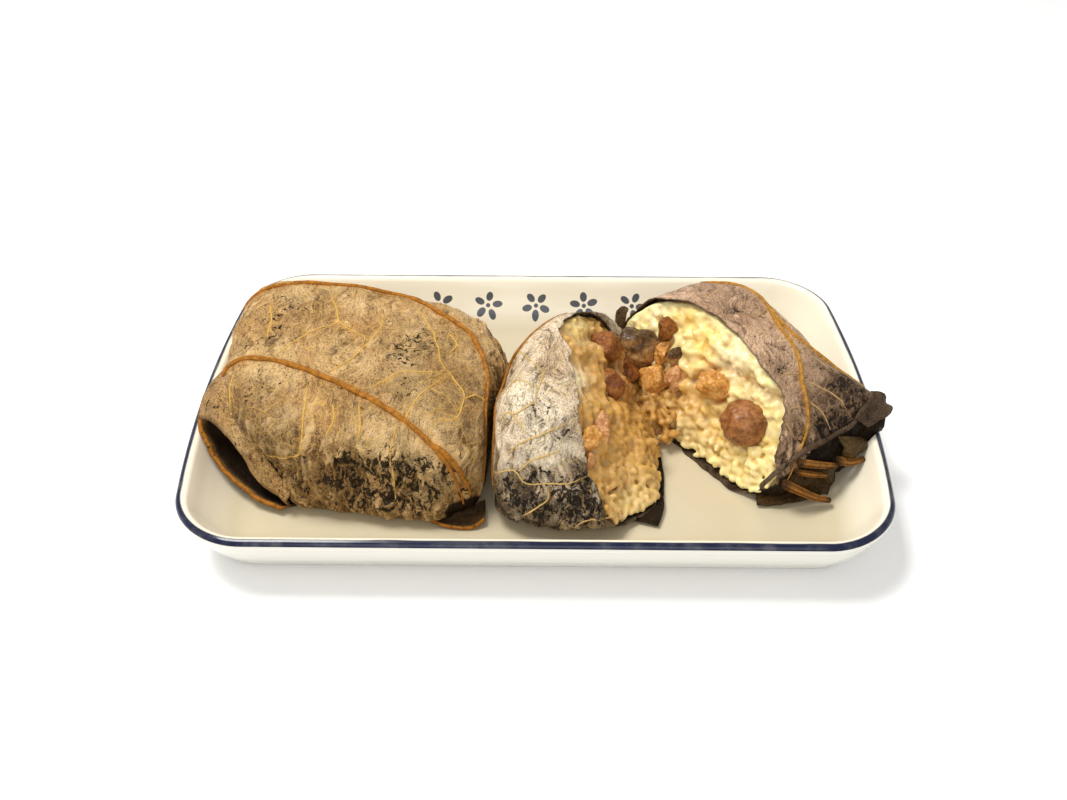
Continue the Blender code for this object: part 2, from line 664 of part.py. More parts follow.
def add_clearance(shell, cutters):
    """A copy of a leaf shell grown by the contact gap, to trim the rice where it would touch."""
    bm = bmesh.new()
    bm.from_mesh(shell.data)
    bm.normal_update()
    for vert in bm.verts:
        vert.co += vert.normal * CONTACT_GAP
    grown = bpy.data.objects.new(shell.name + "_clearance", mesh_from(bm, shell.name + "_clearance"))
    cutters.objects.link(grown)


def new_collection(name):
    """A collection in the scene."""
    made = bpy.data.collections.new(name)
    bpy.context.scene.collection.children.link(made)
    return made


def main():
    """Clears the scene and builds the plate, the parcels and their filling."""
    for old in list(bpy.data.objects):
        bpy.data.objects.remove(old)
    food = new_collection("lotus_leaf_sticky_rice")
    helpers = new_collection("joined_pieces")
    cutters = new_collection("pockets")
    leaf = material("lotus_leaf", LEAF_COLOUR, 0.6)
    rice = material("sticky_rice", RICE_COLOUR, 0.35)
    glaze = material("cream_glaze", PLATE_COLOUR, 0.15)
    finishes = {
        "pork": material("braised_pork", PORK_COLOUR, 0.4),
        "mushroom": material("mushroom", MUSHROOM_COLOUR, 0.3),
    }
    build_plate(glaze, food)
    whole = Mould(WHOLE_CAGE, 4.0, 3, WHOLE_PULLS, keep_left_of=seam_whole_middle)
    middle = Mould(MIDDLE_CAGE, 3.4, 5, keep_right_of=seam_whole_middle, keep_left_of=seam_middle_right)
    right = Mould(RIGHT_CAGE, 3.0, 8, RIGHT_PULLS, keep_right_of=seam_middle_right)
    build_whole_parcel(whole, leaf, food, helpers)
    middle_tear = Tear(middle, MIDDLE_TEAR, MIDDLE_RICE_PAST, MIDDLE_LEAF_PAST, seed=11)
    right_tear = Tear(right, RIGHT_TEAR, RIGHT_RICE_PAST, RIGHT_LEAF_PAST, seed=12)
    middle_shell = build_leaf_shell("leaf_half_middle", middle_tear, MIDDLE_VEINS, leaf, food, helpers)
    for number, (root, free) in enumerate(MIDDLE_PANELS):
        leaf_panel(f"middle_panel_{number}", root, free, helpers, wave=0)
    combine(middle_shell, helpers, "UNION", "MANIFOLD")
    right_shell = build_leaf_shell("leaf_half_right", right_tear, RIGHT_VEINS, leaf, food, helpers)
    for number, (root, free) in enumerate(RIGHT_PANELS):
        leaf_panel(f"right_panel_{number}", root, free, helpers)
    for number, rough in enumerate(RIGHT_STEMS):
        tube(f"right_stem_{number}", smooth_path(np.array(rough) * MM, 7), 1.3 * MM, helpers)
    combine(right_shell, helpers, "UNION", "MANIFOLD")
    build_filling(finishes, food)
    for name, face, shell in (
        ("rice_half_middle", RiceFace(middle_tear, 4 * MM, 21), middle_shell),
        ("rice_half_right", RiceFace(right_tear, 3 * MM, 22), right_shell),
    ):
        add_pockets(cutters)
        add_clearance(shell, cutters)
        build_rice(name, face, rice, food, helpers, cutters)
    for used in (helpers, cutters):
        bpy.data.collections.remove(used)


main()
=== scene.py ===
"""Lotus leaf sticky rice on its plate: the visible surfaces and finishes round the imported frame.

A glazed oblong plate carries one whole lotus leaf parcel and one parcel torn into two halves. Every
surface is worked out in millimetres with +Z up and the origin under the middle of the plate, and is
brought to metres when its mesh is made.
"""

import logging
import math
from dataclasses import dataclass, field
from enum import Enum
from itertools import product

import bpy
import numpy as np
from mathutils import Matrix, Vector


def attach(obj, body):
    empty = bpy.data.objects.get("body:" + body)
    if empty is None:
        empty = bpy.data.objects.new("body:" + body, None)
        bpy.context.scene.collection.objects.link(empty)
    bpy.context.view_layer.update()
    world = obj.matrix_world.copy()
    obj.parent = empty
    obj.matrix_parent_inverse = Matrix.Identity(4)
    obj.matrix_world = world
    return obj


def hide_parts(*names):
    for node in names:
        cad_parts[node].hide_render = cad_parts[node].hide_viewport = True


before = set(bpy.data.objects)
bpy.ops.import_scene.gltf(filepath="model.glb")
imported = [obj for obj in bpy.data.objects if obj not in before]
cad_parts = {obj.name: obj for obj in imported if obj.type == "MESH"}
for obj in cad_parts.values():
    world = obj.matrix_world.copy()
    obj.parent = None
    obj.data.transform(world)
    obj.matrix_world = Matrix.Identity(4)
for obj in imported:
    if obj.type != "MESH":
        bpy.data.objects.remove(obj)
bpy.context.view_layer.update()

MM = 0.001
REST_GAP = 0.45  # mm between a parcel and the plate under it
CONTACT_GAP = 0.3  # mm between a parcel and the line where it meets its neighbour
LAYER_GAP = 0.3  # mm between raised or loose leaf and the plate
RICE_INSET = 1.5  # mm from a parcel's surface to the rice under its leaf
SQUEEZE = 2.5  # mm from a neighbour within which a parcel is crowded
FULL_TURN = 2 * math.pi
LOG = logging.getLogger("lotus_leaf_rice")

Colour = tuple[float, float, float]
Point = tuple[float, float, float]
Array = np.ndarray
Mesh = bpy.types.Mesh
Thing = bpy.types.Object
Material = bpy.types.Material
Socket = bpy.types.NodeSocket


class Half(Enum):
    """The two halves of the torn parcel."""

    MIDDLE = "middle"
    RIGHT = "right"


class VeinKind(Enum):
    """A main rib stands up and is orange brown, a branch is low and pale."""

    RIB = "rib"
    BRANCH = "branch"


# ---------------------------------------------------------------- numbers on whole arrays


def unit(rows: Array) -> Array:
    """Rows divided by their lengths."""
    return rows / np.maximum(np.linalg.norm(rows, axis=-1, keepdims=True), 1e-12)


def smooth_step(value: Array, low: float, high: float) -> Array:
    """0 below low, 1 above high and 3t^2 - 2t^3 between them."""
    share = np.clip((value - low) / (high - low), 0, 1)
    return share * share * (3 - 2 * share)


def cloud(points: Array, size: float | tuple, seed: int, octaves: int = 3) -> Array:
    """Smooth unevenness between about -1 and 1.

    Random values on a cubic lattice are blended between the corners of each cell, and every further
    octave has half the cell size and half the height.

    Args:
        points: Rows of points in mm.
        size: Cell size in mm, one number or one for each axis.
        seed: Picks the lattice.
        octaves: How many layers are added.

    Returns:
        One value for each point.
    """
    lattice = np.random.default_rng(seed).uniform(-1, 1, (16, 16, 16))
    total = np.zeros(len(points))
    for octave in range(octaves):
        place = points / (np.asarray(size, float) / 2**octave) + 200.0 + 5.7 * octave
        cell = np.floor(place).astype(int)
        share = place - cell
        share = share * share * (3 - 2 * share)
        for corner in product((0, 1), repeat=3):
            weight = np.prod(np.where(np.array(corner) == 1, share, 1 - share), axis=1)
            index = (cell + corner) % 16
            total += 0.5**octave * weight * lattice[index[:, 0], index[:, 1], index[:, 2]]
    return total * 1.2


def smooth_path(rough: tuple | Array, count: int) -> Array:
    """Points evenly spread along a Catmull-Rom curve through the rough points.

    Args:
        rough: Points that the curve passes through.
        count: How many points it gets.

    Returns:
        The points of the curve.
    """
    rough = np.asarray(rough, float)
    padded = np.concatenate([2 * rough[:1] - rough[1:2], rough, 2 * rough[-1:] - rough[-2:-1]])
    at = np.linspace(0, len(rough) - 1, count)
    span = np.minimum(at.astype(int), len(rough) - 2)
    t = (at - span)[:, None]
    p0, p1, p2, p3 = (padded[span + k] for k in range(4))
    curve = 2 * p1 + (p2 - p0) * t + (2 * p0 - 5 * p1 + 4 * p2 - p3) * t**2
    return 0.5 * (curve + (3 * p1 - p0 - 3 * p2 + p3) * t**3)


def nearest_on_path(points: Array, path: Array, reach: float) -> tuple[Array, Array]:
    """Distance from each point to a path of close samples, and how far along the path, from 0 to 1.

    Points farther than the reach outside the path's box keep a large distance.

    Args:
        points: Rows of points in mm.
        path: Close samples of the path.
        reach: How far outside its box points still count, in mm.

    Returns:
        Distances in mm, and shares of the length.
    """
    away = np.full(len(points), 1e3)
    along = np.zeros(len(points))
    close = np.all((points > path.min(axis=0) - reach) & (points < path.max(axis=0) + reach), axis=1)
    chosen = np.flatnonzero(close)
    for part in np.array_split(chosen, max(1, len(chosen) // 4000)):
        if len(part):
            gap = np.linalg.norm(points[part, None, :] - path[None, :, :], axis=2)
            away[part] = gap.min(axis=1)
            along[part] = gap.argmin(axis=1) / (len(path) - 1)
    return away, along


def eased(rows: Array, rounds: int) -> Array:
    """Rows of a path, each drawn to (before + 2 * itself + after) / 4, round after round; the ends stay."""
    rows = rows.copy()
    for _ in range(rounds):
        rows[1:-1] = (rows[:-2] + 2 * rows[1:-1] + rows[2:]) / 4
    return rows


def spots(points: Array, patches: tuple) -> Array:
    """Sum of bell shapes exp(-(distance / reach)^2), one for each (centre, reach, strength).

    Args:
        points: Rows of points in mm.
        patches: Centre, reach in mm and strength of each bell.

    Returns:
        One value from 0 to 1 for each point.
    """
    total = np.zeros(len(points))
    for centre, reach, strength in patches:
        away = np.linalg.norm(points - np.array(centre), axis=1) / reach
        total += strength * np.exp(-(away**2))
    return np.clip(total, 0, 1)


# ---------------------------------------------------------------- grids and meshes


def around_ring(count: int) -> Array:
    """Angles spread evenly round a full turn, from 0."""
    return np.arange(count) / count * FULL_TURN


def put_in_scene(name: str, data: bpy.types.ID) -> Thing:
    """A new object for a mesh, lamp or camera, linked into the scene."""
    made = bpy.data.objects.new(name, data)
    bpy.context.scene.collection.objects.link(made)
    return made


def grid_normals(grid: Array, wrap: bool) -> Array:
    """Unit normals of a grid of points: the cross product of its two central differences.

    Args:
        grid: Points in mm, as rows and columns.
        wrap: Whether each row closes on itself.

    Returns:
        One unit normal for each point of the grid.
    """
    down = np.gradient(grid, axis=0)
    if wrap:
        across = (np.roll(grid, -1, axis=1) - np.roll(grid, 1, axis=1)) / 2
    else:
        across = np.gradient(grid, axis=1)
    return unit(np.cross(down, across))


def grid_faces(rows: int, columns: int) -> Array:
    """Quads of a grid whose rows close on themselves, with points numbered row by row.

    Args:
        rows: How many rows.
        columns: How many columns.

    Returns:
        Four point numbers for each face.
    """
    row = np.arange(rows - 1)[:, None] * columns
    column = np.arange(columns)[None, :]
    here = row + column
    beside = row + (column + 1) % columns
    return np.stack([here, here + columns, beside + columns, beside], axis=-1).reshape(-1, 4)


@dataclass
class Surface:
    """A piece's mesh in the making: points, faces and named values on the points."""

    points: list = field(default_factory=list)
    faces: list = field(default_factory=list)
    values: dict = field(default_factory=dict)
    count: int = 0

    def add_grid(self, grid: Array, caps: tuple = (True, True), **values: Array) -> None:
        """Adds a grid whose rows close on themselves, its first and last row closed where caps says so.

        Args:
            grid: Points in mm, as rows and columns.
            caps: Whether the first and the last row are closed.
            values: Numbers or colours on the points, by name.
        """
        rows, columns = grid.shape[:2]
        points = grid.reshape(-1, 3)
        faces = grid_faces(rows, columns).tolist()
        extra = []
        ring = np.arange(columns)
        if caps[0]:
            extra.append(grid[0].mean(axis=0))
            middle = np.full(columns, len(points))
            faces += np.stack([middle, ring, np.roll(ring, -1)], axis=1).tolist()
        if caps[1]:
            extra.append(grid[-1].mean(axis=0))
            middle = np.full(columns, len(points) + len(extra) - 1)
            last = (rows - 1) * columns + ring
            faces += np.stack([middle, np.roll(last, -1), last], axis=1).tolist()
        padded = {}
        for name, value in values.items():
            flat = np.asarray(value, float).reshape(len(points), -1)
            ends = [flat[:columns].mean(axis=0)] if caps[0] else []
            ends += [flat[-columns:].mean(axis=0)] if caps[1] else []
            padded[name] = np.concatenate([flat] + [e[None] for e in ends]).squeeze()
        self.points.append(np.concatenate([points] + [e[None] for e in extra]))
        self.faces.extend([[i + self.count for i in face] for face in faces])
        for name, value in padded.items():
            self.values.setdefault(name, []).append((self.count, value))
        self.count += len(points) + len(extra)

    def build(self, name: str, finish: Material, slot: str, flip: bool = False) -> Thing:
        """Makes the smooth shaded object, at the origin, with its place in the mesh.

        Args:
            name: The piece's name.
            finish: Its material.
            slot: Not used.
            flip: Turns every face over.

        Returns:
            The object, riding on the part's one body.
        """
        points = np.concatenate(self.points) * MM
        faces = [face[::-1] for face in self.faces] if flip else self.faces
        mesh = bpy.data.meshes.new(name)
        mesh.from_pydata(points.tolist(), [], faces)
        for key, parts in self.values.items():
            wide = parts[0][1].ndim > 1
            whole = np.zeros((len(points), 4) if wide else len(points))
            for first, value in parts:
                if wide:
                    whole[first : first + len(value), :3] = value[:, :3]
                    whole[first : first + len(value), 3] = 1
                else:
                    whole[first : first + len(value)] = value
            layer = mesh.attributes.new(key, "FLOAT_COLOR" if wide else "FLOAT", "POINT")
            layer.data.foreach_set("color" if wide else "value", whole.ravel())
        mesh.shade_smooth()
        mesh.materials.append(finish)
        mesh.update()
        made = put_in_scene(name, mesh)
        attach(made, "root")
        return made


def ball_grid(rows: int, columns: int) -> Array:
    """Unit directions on rings between two poles, without the poles: a grid of rows and columns."""
    polar = (np.arange(rows) + 0.5)[:, None] / rows * math.pi
    around = around_ring(columns)[None, :]
    level = np.broadcast_to(np.cos(polar), (rows, columns))
    return np.stack([np.sin(polar) * np.cos(around), np.sin(polar) * np.sin(around), level], axis=-1)


# ---------------------------------------------------------------- materials


def shaded(colour: Colour, share: float) -> Colour:
    """A colour made darker, or lighter where the share is over 1."""
    return tuple(channel * share for channel in colour)


class Recipe:
    """A material under way: nodes are added and joined by the sockets that these methods return."""

    def __init__(self, name: str) -> None:
        """Starts a material with its one shader."""
        self.material = bpy.data.materials.new(name)
        self.material.use_nodes = True
        self.nodes = self.material.node_tree.nodes
        self.links = self.material.node_tree.links
        self.shader = self.nodes["Principled BSDF"]
        self.place = self.nodes.new("ShaderNodeTexCoord").outputs["Object"]

    def put(self, value: object, socket: Socket) -> None:
        """Joins a socket to an input, or sets the input's own value.

        Args:
            value: A socket, a number or a colour.
            socket: The input that takes it.
        """
        if isinstance(value, Socket):
            self.links.new(value, socket)
        elif isinstance(value, tuple) and len(value) == 3 and socket.type == "RGBA":
            socket.default_value = (*value, 1)
        else:
            socket.default_value = value

    def set(self, **values: object) -> None:
        """Sets the shader's inputs, named with underscores for spaces."""
        for name, value in values.items():
            self.put(value, self.shader.inputs[name.replace("_", " ")])

    def value(self, name: str) -> Socket:
        """A number kept on the mesh's points."""
        node = self.nodes.new("ShaderNodeAttribute")
        node.attribute_name = name
        return node.outputs["Fac"]

    def tint(self, name: str) -> Socket:
        """A colour kept on the mesh's points."""
        node = self.nodes.new("ShaderNodeAttribute")
        node.attribute_name = name
        return node.outputs["Color"]

    def maths(self, operation: str, *values: object) -> Socket:
        """One Math node.

        Args:
            operation: The node's operation.
            values: Its inputs in order.

        Returns:
            The output socket.
        """
        node = self.nodes.new("ShaderNodeMath")
        node.operation = operation
        for socket, value in zip(node.inputs, values):
            self.put(value, socket)
        return node.outputs[0]

    def stretch(self, scale: Point, turn: Point = (0, 0, 0)) -> Socket:
        """Object coordinates turned by degrees about each axis and scaled.

        Args:
            scale: Factor along each axis.
            turn: Degrees about each axis.

        Returns:
            The output socket.
        """
        node = self.nodes.new("ShaderNodeMapping")
        self.put(self.place, node.inputs["Vector"])
        node.inputs["Rotation"].default_value = [math.radians(a) for a in turn]
        node.inputs["Scale"].default_value = scale
        return node.outputs[0]

    def noise(
        self, size: float, detail: float = 3, rough: float = 0.55, warp: float = 0, at: object = None
    ) -> Socket:
        """Noise with features of a size in mm.

        Args:
            size: Size of its features in mm.
            detail: How many finer layers it has.
            rough: How strong they are.
            warp: How far it is bent.
            at: Coordinates other than the object's own.

        Returns:
            The output socket.
        """
        node = self.nodes.new("ShaderNodeTexNoise")
        self.put(self.place if at is None else at, node.inputs["Vector"])
        node.inputs["Scale"].default_value = 1 / (size * MM)
        node.inputs["Detail"].default_value = detail
        node.inputs["Roughness"].default_value = rough
        node.inputs["Distortion"].default_value = warp
        return node.outputs["Fac"]

    def net(self, size: float, warp: float = 0.35) -> Socket:
        """Distance to the walls of irregular cells of a size in mm, 0 on a wall, with wavy walls.

        Args:
            size: Size of its cells in mm.
            warp: How wavy its walls are.

        Returns:
            The output socket.
        """
        bend = self.nodes.new("ShaderNodeTexNoise")
        self.put(self.place, bend.inputs["Vector"])
        bend.inputs["Scale"].default_value = 1.2 / (size * MM)
        bend.inputs["Detail"].default_value = 2
        mixed = self.nodes.new("ShaderNodeMix")
        mixed.data_type = "VECTOR"
        mixed.inputs["Factor"].default_value = warp * size * MM
        self.put(self.place, mixed.inputs[4])
        self.put(bend.outputs["Color"], mixed.inputs[5])
        node = self.nodes.new("ShaderNodeTexVoronoi")
        node.feature = "DISTANCE_TO_EDGE"
        self.put(mixed.outputs[1], node.inputs["Vector"])
        node.inputs["Scale"].default_value = 1 / (size * MM)
        return node.outputs["Distance"]

    def step(
        self, value: object, low: float, high: float, start: float = 0, end: float = 1
    ) -> Socket:
        """A smooth step from start to end as the value goes from low to high.

        Args:
            value: What is stepped.
            low: Where the step starts.
            high: Where it ends.
            start: The outcome below it.
            end: The outcome above it.

        Returns:
            The output socket.
        """
        node = self.nodes.new("ShaderNodeMapRange")
        node.interpolation_type = "SMOOTHSTEP"
        self.put(value, node.inputs["Value"])
        for name, number in (("From Min", low), ("From Max", high), ("To Min", start), ("To Max", end)):
            node.inputs[name].default_value = number
        return node.outputs["Result"]

    def blend(self, share: object, first: object, second: object) -> Socket:
        """A colour between two.

        Args:
            share: How much of the second colour shows.
            first: The first colour.
            second: The second colour.

        Returns:
            The output socket.
        """
        node = self.nodes.new("ShaderNodeMix")
        node.data_type = "RGBA"
        self.put(share, node.inputs["Factor"])
        self.put(first, node.inputs[6])
        self.put(second, node.inputs[7])
        return node.outputs[2]

    def raise_by(self, height: object, distance: float, strength: float) -> Socket:
        """A bump whose full height is the distance in mm.

        Args:
            height: Height from 0 to 1.
            distance: Full height in mm.
            strength: How strongly it shows.

        Returns:
            The socket of the bumped normal.
        """
        node = self.nodes.new("ShaderNodeBump")
        node.inputs["Distance"].default_value = distance * MM
        node.inputs["Strength"].default_value = strength
        self.put(height, node.inputs["Height"])
        return node.outputs["Normal"]


@dataclass(frozen=True)
class LeafFinish:
    """Steamed lotus leaf: fibres, a fine net of veins, ribs, and clumps of dark stain."""

    name: str
    light: Colour
    middle: Colour
    dark: Colour
    rib: Colour
    branch: Colour
    stain: Colour
    inside: Colour
    tint: Colour
    speckle: float = 0.3
    roughness: float = 0.5

    def ground(self, leaf: Recipe, mottle: object, fibres: object, strands: object, fine: object) -> object:
        """The leaf's colour, with painted shade in the creases and a painted highlight on their crests: over
        the middle tone, smooth steps of patterns let other tones through.

        Each row holds a pattern, where its step starts and ends, the share of the tone at both, and the tone.

        Args:
            leaf: The material under way.
            mottle: Soft patches.
            fibres: Long fibres round the parcel.
            strands: Finer ones between them.
            fine: The smallest specks.

        Returns:
            The socket of the blended colour.
        """
        fold = leaf.value("fold")
        # A lighter copy of the light tone, painted as highlight on the crease crests.
        crest_highlight = shaded(self.light, min(1.25, 0.98 / max(self.light)))
        ground = self.middle
        for pattern, low, high, start, end, tone in (
            (leaf.noise(24, 3, 0.55), 0.36, 0.64, 0, 1, self.light),
            (mottle, 0.48, 0.74, 0, 0.42, self.dark),
            (leaf.noise(15, 3, 0.6), 0.45, 0.68, 0, 0.6, self.tint),
            # Painted shade: the dark tone fills the low parts of the creases.
            (fold, 0.08, 0.46, 0.85, 0, self.dark),
            (fibres, 0.5, 0.7, 0, 0.6, self.light),
            (fibres, 0.3, 0.46, 0.62, 0, self.dark),
            (strands, 0.32, 0.43, 0.75, 0, self.dark),
            (fine, 0.38, 0.52, 0.5, 0, self.dark),
            (fine, 0.54, 0.7, 0, 0.4, self.light),
            # Painted highlight: the lighter copy of the light tone on the crests of the creases.
            (fold, 0.62, 0.95, 0, 0.8, crest_highlight),
        ):
            ground = leaf.blend(leaf.step(pattern, low, high, start, end), ground, tone)
        return ground

    def build(self) -> Material:
        """The material.

        Points carry rib, branch, stain, darker_low_and_shade, which darkens the leaf towards the bottom and
        paints shade, and inside, the dark inside tone that also paints shade, each from 0 to 1, fold, how high
        a point stands among the creases, and flow, coordinates that run round the parcel.

        Returns:
            The material.
        """
        leaf = Recipe(self.name)
        flow = leaf.tint("flow")
        mottle = leaf.noise(5.5, 4, 0.6, 0.6)
        fibres = leaf.noise(1.3, 4, 0.62, 0.5, flow)
        strands = leaf.noise(0.7, 3, 0.6, 0.8, flow)
        fine = leaf.noise(0.5, 2, 0.6)
        ground = self.ground(leaf, mottle, fibres, strands, fine)
        # Darker towards the bottom and painted shade, mottled.
        low_and_shade_share = leaf.maths("MULTIPLY", leaf.value("darker_low_and_shade"), leaf.step(mottle, 0.25, 0.6, 0.6, 1))
        ground = leaf.blend(low_and_shade_share, ground, shaded(self.dark, 0.8))
        coarse_net = leaf.net(9.5)
        fine_net = leaf.net(2.6, 0.5)
        walls = leaf.maths(
            "MAXIMUM", leaf.step(coarse_net, 0.0, 0.026, 0.4, 0), leaf.step(fine_net, 0.0, 0.08, 0.3, 0),
        )
        ground = leaf.blend(walls, ground, self.branch)
        branch = leaf.value("branch")
        ground = leaf.blend(branch, ground, self.branch)
        rib = leaf.value("rib")
        streak = leaf.noise(1.6, 3, 0.6)
        rib_colour = leaf.blend(leaf.step(streak, 0.3, 0.7), shaded(self.rib, 0.55), self.rib)
        ground = leaf.blend(rib, ground, rib_colour)
        clumps = leaf.noise(2.1, 5, 0.66, 1.0, leaf.stretch((1.0, 1.0, 0.62), (0, 25, 0)))
        crumbs = leaf.noise(0.9, 3, 0.6, 0.8)
        stain = leaf.value("stain")
        level = leaf.maths("MULTIPLY_ADD", stain, 0.17, leaf.maths("MULTIPLY_ADD", crumbs, 0.2, clumps))
        blot = leaf.step(level, 0.77, 0.815, 0, 0.96)
        veil = leaf.maths("MULTIPLY", stain, leaf.step(mottle, 0.35, 0.65, 0, self.speckle))
        ground = leaf.blend(veil, ground, self.stain)
        ground = leaf.blend(blot, ground, self.stain)
        # The dark inside tone: the leaf's inner face, and also painted shade in pockets, under flaps and past
        # the fold line.
        inside = leaf.value("inside")
        under = leaf.blend(leaf.step(mottle, 0.3, 0.7), self.inside, shaded(self.inside, 0.45))
        ground = leaf.blend(inside, ground, under)
        bumps = leaf.maths("MULTIPLY_ADD", fibres, 0.8, leaf.maths("MULTIPLY", mottle, 0.5))
        bumps = leaf.maths("MULTIPLY_ADD", walls, 0.35, bumps)
        bumps = leaf.maths("MULTIPLY_ADD", fine, 0.3, leaf.maths("MULTIPLY_ADD", strands, 0.7, bumps))
        bumps = leaf.maths("MULTIPLY_ADD", blot, -0.35, bumps)
        leaf.set(
            Base_Color=ground,
            Roughness=leaf.step(mottle, 0.3, 0.75, self.roughness - 0.08, self.roughness + 0.12),
            Normal=leaf.raise_by(bumps, 0.9, 0.85),
            Specular_IOR_Level=0.12,
        )
        return leaf.material


@dataclass(frozen=True)
class RiceFinish:
    """Steamed sticky rice: glossy grains that light sinks into, coloured by what they lie beside."""

    name: str
    roughness: float = 0.2
    cloudy: Colour = (0.95, 0.86, 0.6)
    sauce: Colour = (0.66, 0.40, 0.09)

    def build(self) -> Material:
        """The material. Points carry the colour tint.

        Returns:
            The material.
        """
        rice = Recipe(self.name)
        grain = rice.noise(1.6, 3, 0.55)
        smear = rice.noise(5.0, 3, 0.6, 0.5)
        colour = rice.blend(rice.step(grain, 0.4, 0.7, 0.0, 0.1), rice.tint("tint"), self.cloudy)
        colour = rice.blend(rice.step(smear, 0.52, 0.78, 0.0, 0.3), colour, self.sauce)
        film = rice.noise(0.8, 3, 0.6)
        rice.set(
            Base_Color=colour,
            Roughness=rice.step(smear, 0.35, 0.65, self.roughness - 0.04, self.roughness + 0.22),
            Normal=rice.raise_by(film, 0.16, 0.6),
        )
        rice.set(
            Subsurface_Weight=0.4, Subsurface_Radius=(1.0, 0.6, 0.2), Subsurface_Scale=2.2 * MM,
            Specular_IOR_Level=0.25,
        )
        rice.set(Coat_Weight=0.2, Coat_Roughness=0.08)
        return rice.material


@dataclass(frozen=True)
class MeatFinish:
    """Braised meat or mushroom: short fibres with paler fat, under a sticky sauce."""

    name: str
    light: Colour
    middle: Colour
    dark: Colour
    grain: float = 1.8
    roughness: float = 0.28

    def build(self) -> Material:
        """The material. Points carry skin, from 0 to 1, where the dark outside shows.

        Returns:
            The material.
        """
        meat = Recipe(self.name)
        mottle = meat.noise(self.grain * 1.8, 4, 0.6, 0.8)
        fine = meat.noise(self.grain * 0.45, 3, 0.6)
        colour = meat.blend(meat.step(mottle, 0.36, 0.62), self.middle, self.light)
        colour = meat.blend(meat.step(fine, 0.48, 0.68, 0, 0.6), colour, self.dark)
        colour = meat.blend(meat.value("skin"), colour, shaded(self.dark, 0.35))
        bumps = meat.maths("MULTIPLY_ADD", fine, 0.5, mottle)
        meat.set(
            Base_Color=colour,
            Roughness=meat.step(mottle, 0.3, 0.7, self.roughness, self.roughness + 0.2),
            Normal=meat.raise_by(bumps, 0.5, 0.7),
        )
        meat.set(Subsurface_Weight=0.05, Subsurface_Radius=(1.0, 0.5, 0.3), Subsurface_Scale=1.2 * MM)
        meat.set(Coat_Weight=0.14, Coat_Roughness=0.08, Specular_IOR_Level=0.22)
        return meat.material


